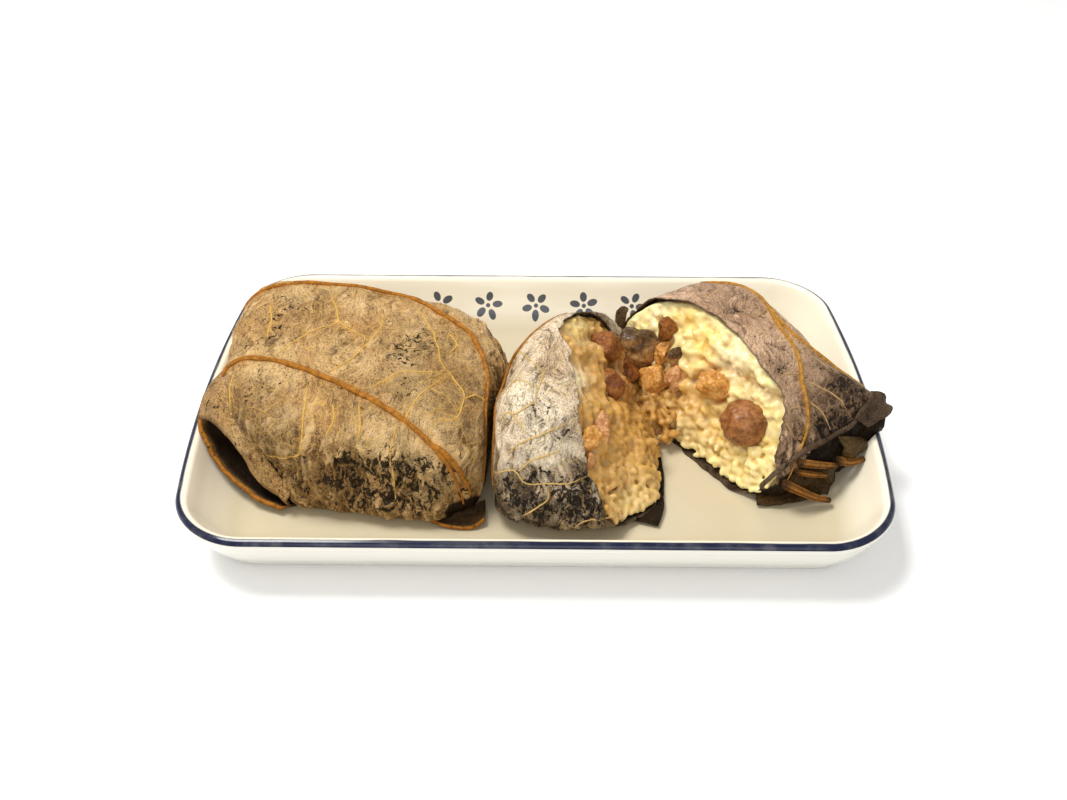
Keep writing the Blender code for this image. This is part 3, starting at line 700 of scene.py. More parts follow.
@dataclass(frozen=True)
class GlazeFinish:
    """Cream glaze, whiter outside, lighter on the inner walls as painted light, with a navy rim line and a row
    of brushed five-petal blossoms.
    """

    name: str = "cream_glaze_with_navy_line"
    cream: Colour = (0.61, 0.53, 0.365)
    # Lighter inner wall tone: painted light, for the light the walls get less of than the floor.
    wall: Colour = (0.92, 0.84, 0.67)
    white: Colour = (0.80, 0.775, 0.69)
    navy: Colour = (0.004, 0.007, 0.032)
    ink: Colour = (0.022, 0.036, 0.062)
    line: tuple[float, float] = (-1.8, 2.0)
    pitch: float = 18.1
    row_middle: float = -0.4
    row_half: float = 45.2
    row_from: float = 50.0
    wall_middle: float = 12.9
    wall_slant: float = 1.2
    petals: int = 5
    petal_middle: float = 3.5
    petal_half_length: float = 2.0
    petal_half_width: float = 1.35
    speck: Colour = (0.4, 0.3, 0.16)

    def blossom(self, glaze: Recipe) -> Socket:
        """How inked a point is: petals folded five times round the middle of each place in the row.

        Args:
            glaze: The material under way.

        Returns:
            The socket of the ink's share.
        """
        parts = glaze.nodes.new("ShaderNodeSeparateXYZ")
        wobble = glaze.noise(5, 2, 0.5)
        glaze.put(glaze.place, parts.inputs[0])
        x, y, z = (glaze.maths("DIVIDE", parts.outputs[k], MM) for k in range(3))
        shifted = glaze.maths("ADD", x, 100 * self.pitch + self.pitch / 2 - self.row_middle)
        across = glaze.maths("SUBTRACT", glaze.maths("MODULO", shifted, self.pitch), self.pitch / 2)
        up = glaze.maths("MULTIPLY", glaze.maths("SUBTRACT", z, self.wall_middle), self.wall_slant)
        number = glaze.maths("FLOOR", glaze.maths("DIVIDE", shifted, self.pitch))
        away = glaze.maths(
            "SQRT",
            glaze.maths("ADD", glaze.maths("POWER", across, 2), glaze.maths("POWER", up, 2)),
        )
        angle = glaze.maths("ADD", glaze.maths("ARCTAN2", up, across), glaze.maths("MULTIPLY", number, 0.5))
        turn = FULL_TURN / self.petals
        folded = glaze.maths(
            "SUBTRACT",
            glaze.maths("MODULO", glaze.maths("ADD", angle, 20 * turn), turn),
            turn / 2,
        )
        side = glaze.maths("MULTIPLY", away, glaze.maths("SINE", folded))
        out = glaze.maths("MULTIPLY", away, glaze.maths("COSINE", folded))
        long_way = glaze.maths(
            "DIVIDE", glaze.maths("SUBTRACT", out, self.petal_middle), self.petal_half_length,
        )
        short_way = glaze.maths("DIVIDE", side, self.petal_half_width)
        petal = glaze.maths("ADD", glaze.maths("POWER", long_way, 2), glaze.maths("POWER", short_way, 2))
        petal = glaze.maths("MULTIPLY_ADD", wobble, 0.7, petal)
        inked = glaze.maths("MAXIMUM", glaze.step(petal, 1.15, 1.4, 1, 0), glaze.step(away, 0.7, 0.95, 1, 0))
        from_middle = glaze.maths("ABSOLUTE", glaze.maths("SUBTRACT", x, self.row_middle))
        row = glaze.step(from_middle, self.row_half, self.row_half + 0.2, 1, 0)
        back = glaze.maths(
            "MULTIPLY", glaze.step(y, self.row_from, self.row_from + 0.5), glaze.value("inner"),
        )
        return glaze.maths("MULTIPLY", inked, glaze.maths("MULTIPLY", row, back))

    def build(self) -> Material:
        """The material. Points carry edge, the inset in mm from the rim, and inner, 1 on the inside.

        Returns:
            The material.
        """
        glaze = Recipe(self.name)
        soft = glaze.noise(38, 3, 0.5)
        specks = glaze.noise(1.4, 2, 0.5)
        inner = glaze.value("inner")
        warm = glaze.blend(glaze.step(soft, 0.3, 0.7, 0, 0.35), self.cream, shaded(self.cream, 0.93))
        edge = glaze.value("edge")
        # Painted light: the inner walls near the rim take the lighter wall tone.
        warm = glaze.blend(glaze.step(edge, 6, 16, 1, 0), warm, self.wall)
        ground = glaze.blend(inner, self.white, warm)
        ground = glaze.blend(glaze.step(specks, 0.74, 0.8, 0, 0.12), ground, self.speck)
        waver = glaze.maths("MULTIPLY_ADD", glaze.noise(14, 2, 0.5), 0.7, edge)
        start, end = self.line
        shift = 0.35
        near = glaze.step(waver, start + shift - 0.2, start + shift + 0.2)
        far = glaze.step(waver, end + shift - 0.3, end + shift + 0.3, 1, 0)
        wash = glaze.step(glaze.noise(7, 3, 0.6), 0.25, 0.6, 0.93, 1.0)
        line = glaze.maths("MULTIPLY", glaze.maths("MULTIPLY", near, far), wash)
        ground = glaze.blend(line, ground, self.navy)
        ground = glaze.blend(glaze.maths("MULTIPLY", self.blossom(glaze), 0.93), ground, self.ink)
        bumps = glaze.raise_by(soft, 0.12, 0.3)
        glaze.set(Base_Color=ground, Normal=bumps, Roughness=0.14, Specular_IOR_Level=0.4)
        return glaze.material


# ---------------------------------------------------------------- the plate


@dataclass
class Plate:
    """The oblong dish: rings at an inset from its outer edge, each at a height of its profile."""

    length: float = 220.0
    width: float = 138.0
    corner: float = 20.5
    end_bow: float = 5.7
    inner_rounding: float = 18.0
    columns: int = 480
    rim_height: float = 22.0
    glazed_over: float = 20.7
    inside: tuple = (
        (1.8, 22.0), (3.3, 21.3), (4.4, 19.6), (7.0, 14.6), (10.0, 10.4), (13.5, 7.6), (18.0, 6.0), (24.0, 5.5),
    )
    outside: tuple = (
        (0.6, 21.4), (0.0, 20.0), (0.8, 18.0), (4.2, 11.2), (9.2, 3.8), (12.2, 0.0), (16.4, 0.0), (17.4, 1.5),
    )

    def inset(self, x: Array, y: Array) -> Array:
        """How far plan points lie inside the outer edge, a rounded oblong with bowed ends.

        Args:
            x: Plan places along X in mm.
            y: Plan places along Y in mm.

        Returns:
            Distances inside the edge in mm.
        """
        half_length = self.length / 2 - self.end_bow * np.clip(y / (self.width / 2), -1, 1) ** 2
        past_x = np.abs(x) - (half_length - self.corner)
        past_y = np.abs(y) - (self.width / 2 - self.corner)
        larger = np.maximum(past_x, past_y)
        rounding = np.clip(-larger, 1e-9, self.inner_rounding)
        blend = np.clip(rounding - np.abs(past_x - past_y), 0, None) ** 2 / (4 * rounding)
        inside = np.minimum(larger + blend, 0)
        return self.corner - np.hypot(np.maximum(past_x, 0), np.maximum(past_y, 0)) - inside

    def height(self, x: Array, y: Array) -> Array:
        """Height of the inner face under plan points."""
        profile = np.array(self.inside)
        return np.interp(self.inset(x, y), profile[:, 0], profile[:, 1])

    def ring(self, inset: float) -> Array:
        """Plan points at an inset, found by halving along each direction.

        Args:
            inset: Distance inside the edge in mm.

        Returns:
            Plan points in mm.
        """
        angles = around_ring(self.columns)
        near, far = np.zeros(self.columns), np.full(self.columns, self.length)
        for _ in range(36):
            middle = (near + far) / 2
            inside = self.inset(middle * np.cos(angles), middle * np.sin(angles)) > inset
            near, far = np.where(inside, middle, near), np.where(inside, far, middle)
        return np.stack([near * np.cos(angles), near * np.sin(angles)], axis=1)

    def build(self, finish: Material) -> Thing:
        """Lofts the rings from the middle of the floor out over the rim and in under the foot.

        Args:
            finish: Its material.

        Returns:
            The plate.
        """
        inside = smooth_path(self.inside[::-1], 48)
        outside = smooth_path(self.inside[:1] + self.outside, 64)[1:]
        profile = np.concatenate([inside, outside])
        profile[:, 1] = np.clip(profile[:, 1], 0, self.rim_height)
        profile[:, 0] = np.maximum(profile[:, 0], 0)
        rings = [np.column_stack([self.ring(inset), np.full(self.columns, level)]) for inset, level in profile]
        shrink = np.linspace(0.04, 1, 12)[:-1, None, None]
        floor = rings[0][None] * [1, 1, 0] * shrink + [0, 0, rings[0][0, 2]]
        recess = rings[-1][None] * [1, 1, 0] * shrink[::-1] + [0, 0, rings[-1][0, 2]]
        grid = np.concatenate([floor, np.array(rings), recess])
        far_in = 30.0
        insets = np.concatenate([np.full(len(floor), far_in), profile[:, 0], np.full(len(recess), far_in)])
        inner = (np.arange(len(grid)) < len(floor) + len(inside)).astype(float)
        level = grid[:, 0, 2]
        edge = np.where(inner > 0, insets, np.where(level > self.glazed_over, insets, -3.5))
        shape = grid.shape[:2]
        surface = Surface()
        edge = np.broadcast_to(edge[:, None], shape)
        surface.add_grid(grid, edge=edge, inner=np.broadcast_to(inner[:, None], shape))
        made = surface.build("plate_glazed", finish, "plate_glaze")
        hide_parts("plate")
        return made


# ---------------------------------------------------------------- parcels


def seam_whole_middle(y: Array) -> Array:
    """Plan line where the whole parcel and the middle half press together."""
    return -14 + 0.30 * np.maximum(0, y + 15)


def seam_middle_right(y: Array) -> Array:
    """Plan line where the two torn halves lean together."""
    return 27.5 + 0.42 * (29 - y)


def squeezed(room: Array) -> Array:
    """Distances from a seam, made positive: what lies past it is crowded close in front of it."""
    close = SQUEEZE - np.minimum(room, SQUEEZE)
    return np.where(room < SQUEEZE, SQUEEZE**2 / (SQUEEZE + close), room)


def slow_waves(points: Array, seed: int) -> Array:
    """A slow unevenness from six seeded waves, up to about 0.7 mm.

    Args:
        points: Rows of points in mm.
        seed: Picks the random draw.

    Returns:
        Height in mm for each point.
    """
    chance = np.random.default_rng(seed)
    total = np.zeros(len(points))
    for _ in range(6):
        wave = chance.normal(size=3) * 2 * math.pi / 34
        total += np.sin(points @ wave + chance.uniform(0, 2 * math.pi))
    return total * 0.7 / 3


@dataclass
class Mould:
    """A pillow: a rounded cube carried into a cage of eight corners, pressed on its neighbours."""

    plate: Plate
    cage: Array
    roundness: float
    seed: int
    pulls: tuple = ()
    keep_right_of: object = None
    keep_left_of: object = None
    flow_radius: float = 6.5

    def __post_init__(self) -> None:
        """Finds the cage's middle."""
        self.cage = np.array(self.cage, float)
        self.centre = self.cage.reshape(-1, 3).mean(axis=0)

    def points(self, directions: Array) -> Array:
        """Surface points: the direction on a rounded cube, blended between the cage's corners.

        Args:
            directions: Unit directions.

        Returns:
            Points in mm.
        """
        size = (np.abs(directions) ** self.roundness).sum(axis=1) ** (1 / self.roundness)
        cube = directions / size[:, None]
        share = np.stack([(1 - cube) / 2, (1 + cube) / 2], axis=-1)
        found = np.einsum(
            "ni,nj,nk,ijkc->nc", share[:, 0], share[:, 1], share[:, 2], self.cage, optimize=True,
        )
        outward = unit(found - self.centre)
        found = found + outward * slow_waves(found, self.seed)[:, None]
        for place, reach, shift in self.pulls:
            away = np.linalg.norm(found - np.array(place), axis=1) / reach
            found = found + np.exp(-(away[:, None] ** 2)) * np.array(shift)
        return self.pressed(found)

    def pressed(self, found: Array, inset: float = 0.0) -> Array:
        """The points moved off the neighbours and up from the plate, by a further inset.

        Args:
            found: Rows of points in mm.
            inset: Further distance kept from all of them, in mm.

        Returns:
            The moved points.
        """
        found = found.copy()
        if self.keep_left_of is not None:
            room = self.keep_left_of(found[:, 1]) - CONTACT_GAP - inset - found[:, 0]
            found[:, 0] += room - squeezed(room)
        if self.keep_right_of is not None:
            room = found[:, 0] - self.keep_right_of(found[:, 1]) - CONTACT_GAP - inset
            found[:, 0] += squeezed(room) - room
        found[:, 2] = np.maximum(found[:, 2], self.floor_under(found) + REST_GAP + inset)
        return found

    def floor_under(self, found: Array) -> Array:
        """Height of the plate's inner face under each point."""
        return self.plate.height(found[:, 0], found[:, 1])

    def flow(self, found: Array) -> Array:
        """Coordinates in mm that pass slowly round the X axis: bent x, and the cosine and sine of the turn.

        Args:
            found: Rows of points in mm.

        Returns:
            Three coordinates for each point.
        """
        beside, above = (found[:, 1] - self.centre[1]), (found[:, 2] - self.centre[2])
        away = np.maximum(np.hypot(beside, above), 1e-6)
        bend = 3.2 * cloud(found, 11, self.seed + 90, 2) + 0.9 * cloud(found, 3.5, self.seed + 91, 2)
        reach = self.flow_radius
        return np.stack([found[:, 0] + bend, reach * beside / away, reach * above / away], axis=1)

    def calm(self, found: Array) -> Array:
        """How free the surface is to crease: 0 against a neighbour or the plate, 1 well away.

        Args:
            found: Rows of points in mm.

        Returns:
            One value for each point.
        """
        room = found[:, 2] - self.floor_under(found) - REST_GAP
        if self.keep_left_of is not None:
            room = np.minimum(room, self.keep_left_of(found[:, 1]) - found[:, 0])
        if self.keep_right_of is not None:
            room = np.minimum(room, found[:, 0] - self.keep_right_of(found[:, 1]))
        return smooth_step(room, 0.2, 3.0)

    def normals(self, directions: Array) -> Array:
        """Outward unit normals, from two short steps along the surface.

        Args:
            directions: Unit directions.

        Returns:
            One normal for each direction.
        """
        upright = np.where(np.abs(directions[:, 2:3]) < 0.9, [[0.0, 0.0, 1.0]], [[1.0, 0.0, 0.0]])
        along = unit(np.cross(directions, upright))
        across = np.cross(directions, along)
        ends = []
        for side in (along, across):
            ends.append(
                self.points(unit(directions + 0.03 * side)) - self.points(unit(directions - 0.03 * side)),
            )
        normal = np.cross(ends[0], ends[1])
        outward = unit(self.points(directions) - self.centre)
        normal *= np.where((outward * normal).sum(axis=1) < 0, -1, 1)[:, None]
        return unit(normal + outward * 1e-6)

    def snap(self, rough: Array) -> Array:
        """The directions whose surface points lie on the lines from the centre through rough points.

        Args:
            rough: Rough points near the surface.

        Returns:
            The unit directions.
        """
        wanted = unit(rough - self.centre)
        directions = wanted.copy()
        for _ in range(40):
            seen = unit(self.points(directions) - self.centre)
            directions = unit(directions + 0.6 * (wanted - seen))
        return directions


@dataclass(frozen=True)
class Vein:
    """One vein on a parcel: rough points, kind, and its half width and height in mm."""

    rough: tuple
    kind: VeinKind = VeinKind.BRANCH
    radius: float = 0.23
    height: float = 0.16

    def track(self, mould: Mould) -> tuple[Array, Array]:
        """Close samples of the vein on the mould, and the surface normals there.

        Args:
            mould: The parcel that it lies on.

        Returns:
            Points in mm, and their normals.
        """
        directions = mould.snap(smooth_path(self.rough, 8 * len(self.rough)))
        count = 26 * len(self.rough)
        return (
            smooth_path(mould.points(directions), count), unit(smooth_path(mould.normals(directions), count)),
        )


@dataclass
class LeafSkin:
    """What the leaf of a parcel carries on its surface: creases, veins, stains, darkening towards the bottom
    and painted shade.
    """

    mould: Mould
    veins: tuple
    stains: tuple
    seed: int
    crease_size: float = 3.0
    crease_height: float = 0.5
    # How the leaf darkens towards the bottom: start height, reach and strength.
    darker_low_and_shade: tuple[float, float, float] = (34.0, 22.0, 0.5)
    fold_line: tuple = ()
    shade: tuple = ()

    def __post_init__(self) -> None:
        """Lays every vein on the mould once."""
        self.tracks = [vein.track(self.mould) for vein in self.veins]

    def creases(self, points: Array) -> tuple[Array, Array]:
        """Height of the leaf's unevenness in mm, and how high each point stands, from 0 to 1.

        Long wrinkles pass round the parcel as 0.42 - |cloud of the flow|, over a broad swell and a small
        ripple, and are strongest on the sides.

        Args:
            points: Rows of points in mm.

        Returns:
            Heights in mm, and values from 0 to 1.
        """
        flow = self.mould.flow(points)
        broad = cloud(points, 14, self.seed, 2)
        folds = 0.42 - np.abs(cloud(flow, self.crease_size, self.seed + 1, 2))
        small = 0.4 - np.abs(cloud(flow + 0.8 * broad[:, None], 0.42 * self.crease_size, self.seed + 4, 2))
        ripple = cloud(points, 1.5, self.seed + 2, 2)
        steep = 0.35 + 0.65 * smooth_step(38 - points[:, 2], -2, 10)
        lift = 0.5 * broad + self.crease_height * steep * (folds + 0.55 * small) + 0.07 * ripple
        height = np.clip(0.5 + steep * (0.8 * folds + 0.9 * small) + 0.15 * ripple, 0, 1)
        return lift, height

    def dress(self, points: Array, normals: Array) -> tuple[Array, dict]:
        """Raises the surface along its normals and gives the values that its finish reads.

        The leaf swells beside a rib as exp(-(distance / radius)^2) and lies smooth round it, and the swelling's
        ends taper. It is darker towards the bottom and in painted shade patches, and past its fold line it
        takes painted shade in the dark inside tone.

        Args:
            points: Rows of points in mm.
            normals: Unit normals at the points.

        Returns:
            The raised points, and the values by name.
        """
        lift, fold = self.creases(points)
        rib, branch, ridge, taut = (np.zeros(len(points)) for _ in range(4))
        for vein, (path, _) in zip(self.veins, self.tracks):
            away, along = nearest_on_path(points, path, 4 * vein.radius + 2)
            taper = smooth_step(along, -0.02, 0.12) * smooth_step(1 - along, -0.02, 0.2)
            bell = np.exp(-((away / (1.6 * vein.radius)) ** 2))
            ridge = np.maximum(ridge, 0.6 * vein.height * bell * (0.25 + 0.75 * taper))
            if vein.kind is VeinKind.RIB:
                taut = np.maximum(taut, np.exp(-((away / (3.4 * vein.radius)) ** 2)))
                rib = np.maximum(rib, 0.55 * bell * (0.4 + 0.6 * taper))
            else:
                branch = np.maximum(branch, 0.5 * bell * taper)
        calm = self.mould.calm(points)
        raised = points + normals * ((lift * (1 - 0.8 * taut) * calm + ridge * (0.3 + 0.7 * calm)))[:, None]
        # Darker towards the bottom, and painted shade in the shade patches.
        start, reach, strength = self.darker_low_and_shade
        low = smooth_step(start - points[:, 2] + 4 * cloud(points, 9, self.seed + 6, 2), 0, reach) * strength
        low = np.maximum(low, spots(points, self.shade))
        values = {
            "rib": rib, "branch": branch, "stain": spots(points, self.stains), "fold": fold, "darker_low_and_shade": low,
        }
        # Painted shade past the fold line, in the dark inside tone.
        values |= {"inside": self.shade_past_fold(points), "flow": self.mould.flow(points) * MM}
        return self.settle(raised), values

    def shade_past_fold(self, points: Array) -> Array:
        """Painted shade: 1 past the plane through the fold line's two ends and the mould's middle, near that
        line.

        Args:
            points: Rows of points in mm.

        Returns:
            One value for each point.
        """
        if not self.fold_line:
            return np.zeros(len(points))
        first, last = (np.array(end, float) for end in self.fold_line)
        across = unit(np.cross(last - first, self.mould.centre - first))
        across *= -np.sign(across[2])
        far = np.linalg.norm(points - (first + last) / 2 - [0, -4, -6], axis=1)
        far = far + 5 * cloud(points, 5, self.seed + 13, 3)
        beyond = smooth_step((points - first) @ across + 0.5 * cloud(points, 3, self.seed + 12, 2), -0.6, 0.6)
        return beyond * (1 - smooth_step(far, 22, 32))

    def add_strands(self, surface: Surface, flip: bool) -> None:
        """Adds every vein as a low round bar along the raised leaf, thinner towards its ends.

        Args:
            surface: The mesh in the making.
            flip: Whether the bars are turned inside out.
        """
        for vein, (path, normals) in zip(self.veins, self.tracks):
            is_rib = vein.kind is VeinKind.RIB
            path = eased(self.dress(path, normals)[0], 60 if is_rib else 14)
            wander = cloud(path, 6.0, self.seed + 9, 2)
            side = unit(np.cross(np.gradient(path, axis=0), normals))
            path = path + side * (0.2 * wander)[:, None]
            count = len(path)
            along = np.linspace(0, 1, count)
            taper = 0.3 + 0.7 * smooth_step(along, -0.05, 0.15) * smooth_step(1 - along, -0.05, 0.4)
            taper = taper * (1 + 0.16 * cloud(path, 4.0, self.seed + 8, 2))
            turn = around_ring(10 if is_rib else 7)
            wide = vein.radius * taper[:, None, None] * np.cos(turn)[None, :, None] * side[:, None]
            high = vein.height * taper[:, None, None] * np.sin(turn)[None, :, None] * normals[:, None]
            grid = path[:, None] + wide + high + normals[:, None] * (0.15 * vein.height)
            full = np.ones(grid.shape[:2])
            values = {"rib": full * is_rib, "branch": full * (0.0 if is_rib else 0.95), "fold": full * 0.6}
            values |= {"stain": full * 0.0, "inside": full * 0.0, "darker_low_and_shade": full * 0.0, "flow": grid * MM}
            surface.add_grid(grid[:, ::-1] if flip else grid, **values)

    def settle(self, points: Array) -> Array:
        """Keeps the raised surface just off the plate."""
        points[:, 2] = np.maximum(points[:, 2], self.mould.floor_under(points) + LAYER_GAP)
        return points


WHOLE_CAGE = (
    (((-95, -43, 2), (-99, -34, 43)), ((-102, 46, 3), (-101, 43, 49))),
    (((-13, -52, 2), (-14, -44, 40)), ((-6, 33, 3), (-9, 27, 38))),
)
MIDDLE_CAGE = (
    (((-23, -59, 4), (-13, -35, 45)), ((-22, 39, 3), (5, -4, 60))),
    (((54, -58, 4), (14, -39, 41)), ((50, 41, 3), (23, 24, 47))),
)
RIGHT_CAGE = (
    (((-3, 21, 3), (18, 11, 49)), ((51, 57, 3), (69, 45, 50))),
    (((65, -51, 2), (67, -29, 47)), ((119, -25, 2), (98, -6, 43))),
)
WHOLE_PULLS = (((-98, -36, 14), 15, (7, 6, 0)), ((-100, -26, 13), 12, (7, 5, 2)))
RIGHT_PULLS = (((102, -15, 31), 11, (13, -3, 5)),)

WHOLE_RIBS = (
    (
        (-98, -10, 32), (-96, -11, 37), (-89, -10, 42), (-76, -14, 43), (-60, -22, 42), (-43, -31, 39),
        (-31, -39, 33), (-24, -43, 23), (-21, -44, 12),
    ),
    (
        (-97, 20, 38), (-90, 26, 42), (-80, 28, 44), (-64, 30, 42), (-47, 29, 39), (-32, 18, 39),
        (-21, 9, 38), (-15, -6, 36), (-15, -27, 32), (-16, -37, 16),
    ),
    ((-31, -39, 34), (-25, -41, 28), (-19, -42, 15)),
)
WHOLE_BRANCHES = (
    ((-70, 26, 44), (-66, 16, 44), (-64, 8, 44), (-59, 3, 43), (-55, 1, 43), (-55, -4, 42)),
    ((-63, 8, 44), (-69, 4, 44), (-73, 0, 43), (-78, -6, 43), (-82, -11, 43)),
    (
        (-51, 17, 42), (-50, 10, 42), (-51, 3, 42), (-55, -5, 42), (-58, -11, 43), (-62, -15, 42),
        (-64, -16, 42),
    ),
    ((-41, 22, 40), (-37, 14, 40), (-33, 4, 40), (-31, -5, 40), (-28, -14, 40)),
    ((-50, -22, 41), (-46, -19, 41), (-41, -16, 42), (-35, -15, 41), (-28, -13, 40)),
    (
        (-28, -13, 40), (-25, -17, 39), (-22, -23, 38), (-23, -28, 37), (-25, -32, 37), (-29, -33, 38),
        (-31, -36, 37),
    ),
    (
        (-70, -21, 42), (-69, -31, 39), (-69, -36, 36), (-70, -39, 30), (-74, -39, 28), (-79, -38, 27),
        (-84, -34, 25),
    ),
    ((-53, -29, 40), (-52, -35, 37), (-53, -39, 34)),
    ((-41, -36, 38), (-42, -40, 35), (-43, -42, 30), (-42, -44, 24), (-42, -45, 18), (-41, -46, 14)),
    ((-93, -15, 40), (-93, -23, 37), (-93, -26, 33)), ((-61, -29, 40), (-60, -34, 38), (-62, -38, 35)),
    ((-28, 8, 40), (-26, 2, 39), (-27, -3, 40)), ((-87, 15, 44), (-85, 7, 44), (-85, -3, 43)),
    ((-22, -24, 38), (-19, -21, 37), (-16, -20, 34)),
    ((-39, -34, 38), (-38, -30, 39), (-35, -24, 40), (-29, -16, 40)),
)
WHOLE_STAINS = (
    ((-61, -42, 27), 8, 0.6), ((-51, -44, 20), 10, 1.0), ((-43, -44, 24), 10, 1.0), ((-34, -45, 17), 9, 1.0),
    ((-28, -43, 28), 6, 0.8), ((-74, -40, 22), 7, 0.6), ((-66, -41, 12), 7, 0.5), ((-84, 3, 44), 8, 0.6),
    ((-78, 16, 45), 10, 0.5), ((-93, -4, 41), 6, 0.6), ((-37, 2, 41), 9, 0.7), ((-43, -9, 42), 7, 0.7),
    ((-40, -23, 41), 5, 0.6), ((-84, -24, 40), 7, 0.55), ((-100, -18, 30), 6, 0.6), ((-22, -40, 16), 5, 0.7),
    ((-96, 20, 20), 14, 0.5), ((-50, 40, 20), 16, 0.5), ((-80, 38, 26), 10, 0.6),
)
MIDDLE_RIBS = (
    ((-12, -40, 18), (-12, -35, 24), (-12, -27, 33), (-9, -8, 35), (-3, -5, 45), (4, 3, 47), (10, 9, 46)),
)
MIDDLE_BRANCHES = (
    ((-7, 1, 39), (-3, -13, 46), (2, -21, 47), (2, -23, 47), (1, -27, 45), (0, -31, 44)),
    ((-11, -31, 36), (-8, -32, 40), (-5, -35, 39), (-3, -38, 37)),
    ((-13, -36, 21), (-7, -44, 28), (-3, -47, 25), (3, -47, 25), (10, -47, 25), (16, -45, 27)),
    ((-8, -41, 32), (-4, -40, 35), (1, -39, 37), (6, -37, 38), (10, -35, 39)),
    ((-5, -45, 28), (-1, -43, 31), (3, -42, 32), (8, -41, 33)),
    ((11, -52, 11), (14, -52, 14), (20, -51, 15), (25, -50, 16)),
    ((-4, -51, 15), (0, -51, 18), (4, -49, 21), (4, -47, 25)),
    ((0, -31, 44), (-5, -33, 41), (-8, -33, 40)),
    ((-11, -24, 38), (-8, -23, 43), (-5, -24, 46), (1, -27, 45)),
)
MIDDLE_STAINS = (
    ((-1, -48, 22), 9, 1.0), ((5, -51, 17), 10, 1.0), ((14, -49, 20), 9, 0.8), ((17, -46, 27), 6, 0.6),
    ((1, -33, 42), 5, 0.7), ((9, -37, 39), 5, 0.5), ((-8, -48, 15), 9, 1.0), ((0, -20, 48), 4, 0.4),
    ((22, -50, 12), 8, 0.6), ((0, 20, 25), 12, 0.5),
)
RIGHT_RIBS = (
    (
        (56, 33, 42), (63, 31, 43), (70, 27, 45), (76, 16, 45), (80, -1, 44), (82, -14, 40), (84, -23, 34),
        (82, -28, 26), (77, -34, 16),
    ),
    ((74, 22, 45), (82, 4, 43), (93, -4, 37), (104, -12, 34)),
)
RIGHT_BRANCHES = (
    ((75, -16, 41), (78, -14, 41), (82, -13, 40)),
    ((77, -25, 36), (80, -24, 36), (83, -22, 34)),
    ((84, -15, 39), (88, -16, 37), (93, -18, 35), (96, -20, 32)),
    ((84, -20, 35), (89, -22, 32), (91, -24, 27)),
    ((82, -5, 44), (88, -6, 41), (92, -11, 39)),
    ((65, 30, 44), (60, 22, 47), (53, 18, 47)),
    ((76, -27, 33), (78, -28, 30), (80, -29, 27)),
    ((78, 19, 43), (71, 10, 46), (63, 9, 47)),
    ((92, 10, 36), (88, 22, 32), (80, 34, 26)),
)
RIGHT_STAINS = (
    ((64, 10, 47), 4, 0.8), ((76, -12, 43), 4, 0.7), ((94, -13, 38), 5, 0.8), ((98, -16, 36), 4, 0.8),
    ((90, -26, 25), 8, 0.9), ((96, -23, 26), 8, 0.9), ((103, -20, 29), 6, 0.9), ((76, -29, 31), 4, 0.6),
    ((86, -28, 18), 9, 0.9), ((88, 24, 26), 14, 0.6), ((106, -12, 22), 10, 0.9),
)


@dataclass
class WholeParcel:
    """The closed parcel: one creased pillow of leaf."""

    skin: LeafSkin
    rows: int = 226
    columns: int = 340

    def build(self, finish: Material) -> Thing:
        """Makes the pillow as rings about the X axis, with both poles closed.

        Args:
            finish: Its material.

        Returns:
            The parcel.
        """
        ball = ball_grid(self.rows, self.columns)[..., [2, 0, 1]]
        directions = ball.reshape(-1, 3)
        mould = self.skin.mould
        plain = mould.points(directions).reshape(self.rows, self.columns, 3)
        normals = grid_normals(plain, True)
        outward = np.sign(((plain - mould.centre) * normals).sum(axis=-1, keepdims=True).mean())
        raised, values = self.skin.dress(plain.reshape(-1, 3), (normals * outward).reshape(-1, 3))
        # Painted shade: the dark inside tone fills the pocket under the flap and the hollow at the front foot.
        hollow = spots(raised, (((-88, -30, 14), 8, 1.6), ((-96, -24, 18), 7, 1.5), ((-80, -36, 9), 4, 0.7)))
        hollow = np.maximum(hollow, spots(raised, (((-23, -45, 9.5), 4.2, 1.5), ((-17, -43, 9), 4.5, 1.5))))
        values["inside"] = smooth_step(hollow, 0.35, 0.6)
        surface = Surface()
        surface.add_grid(raised.reshape(self.rows, self.columns, 3), **values)
        self.skin.add_strands(surface, outward < 0)
        made = surface.build("whole_parcel_leaf", finish, "leaf", flip=outward < 0)
        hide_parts("leaf_parcel_whole")
        return made


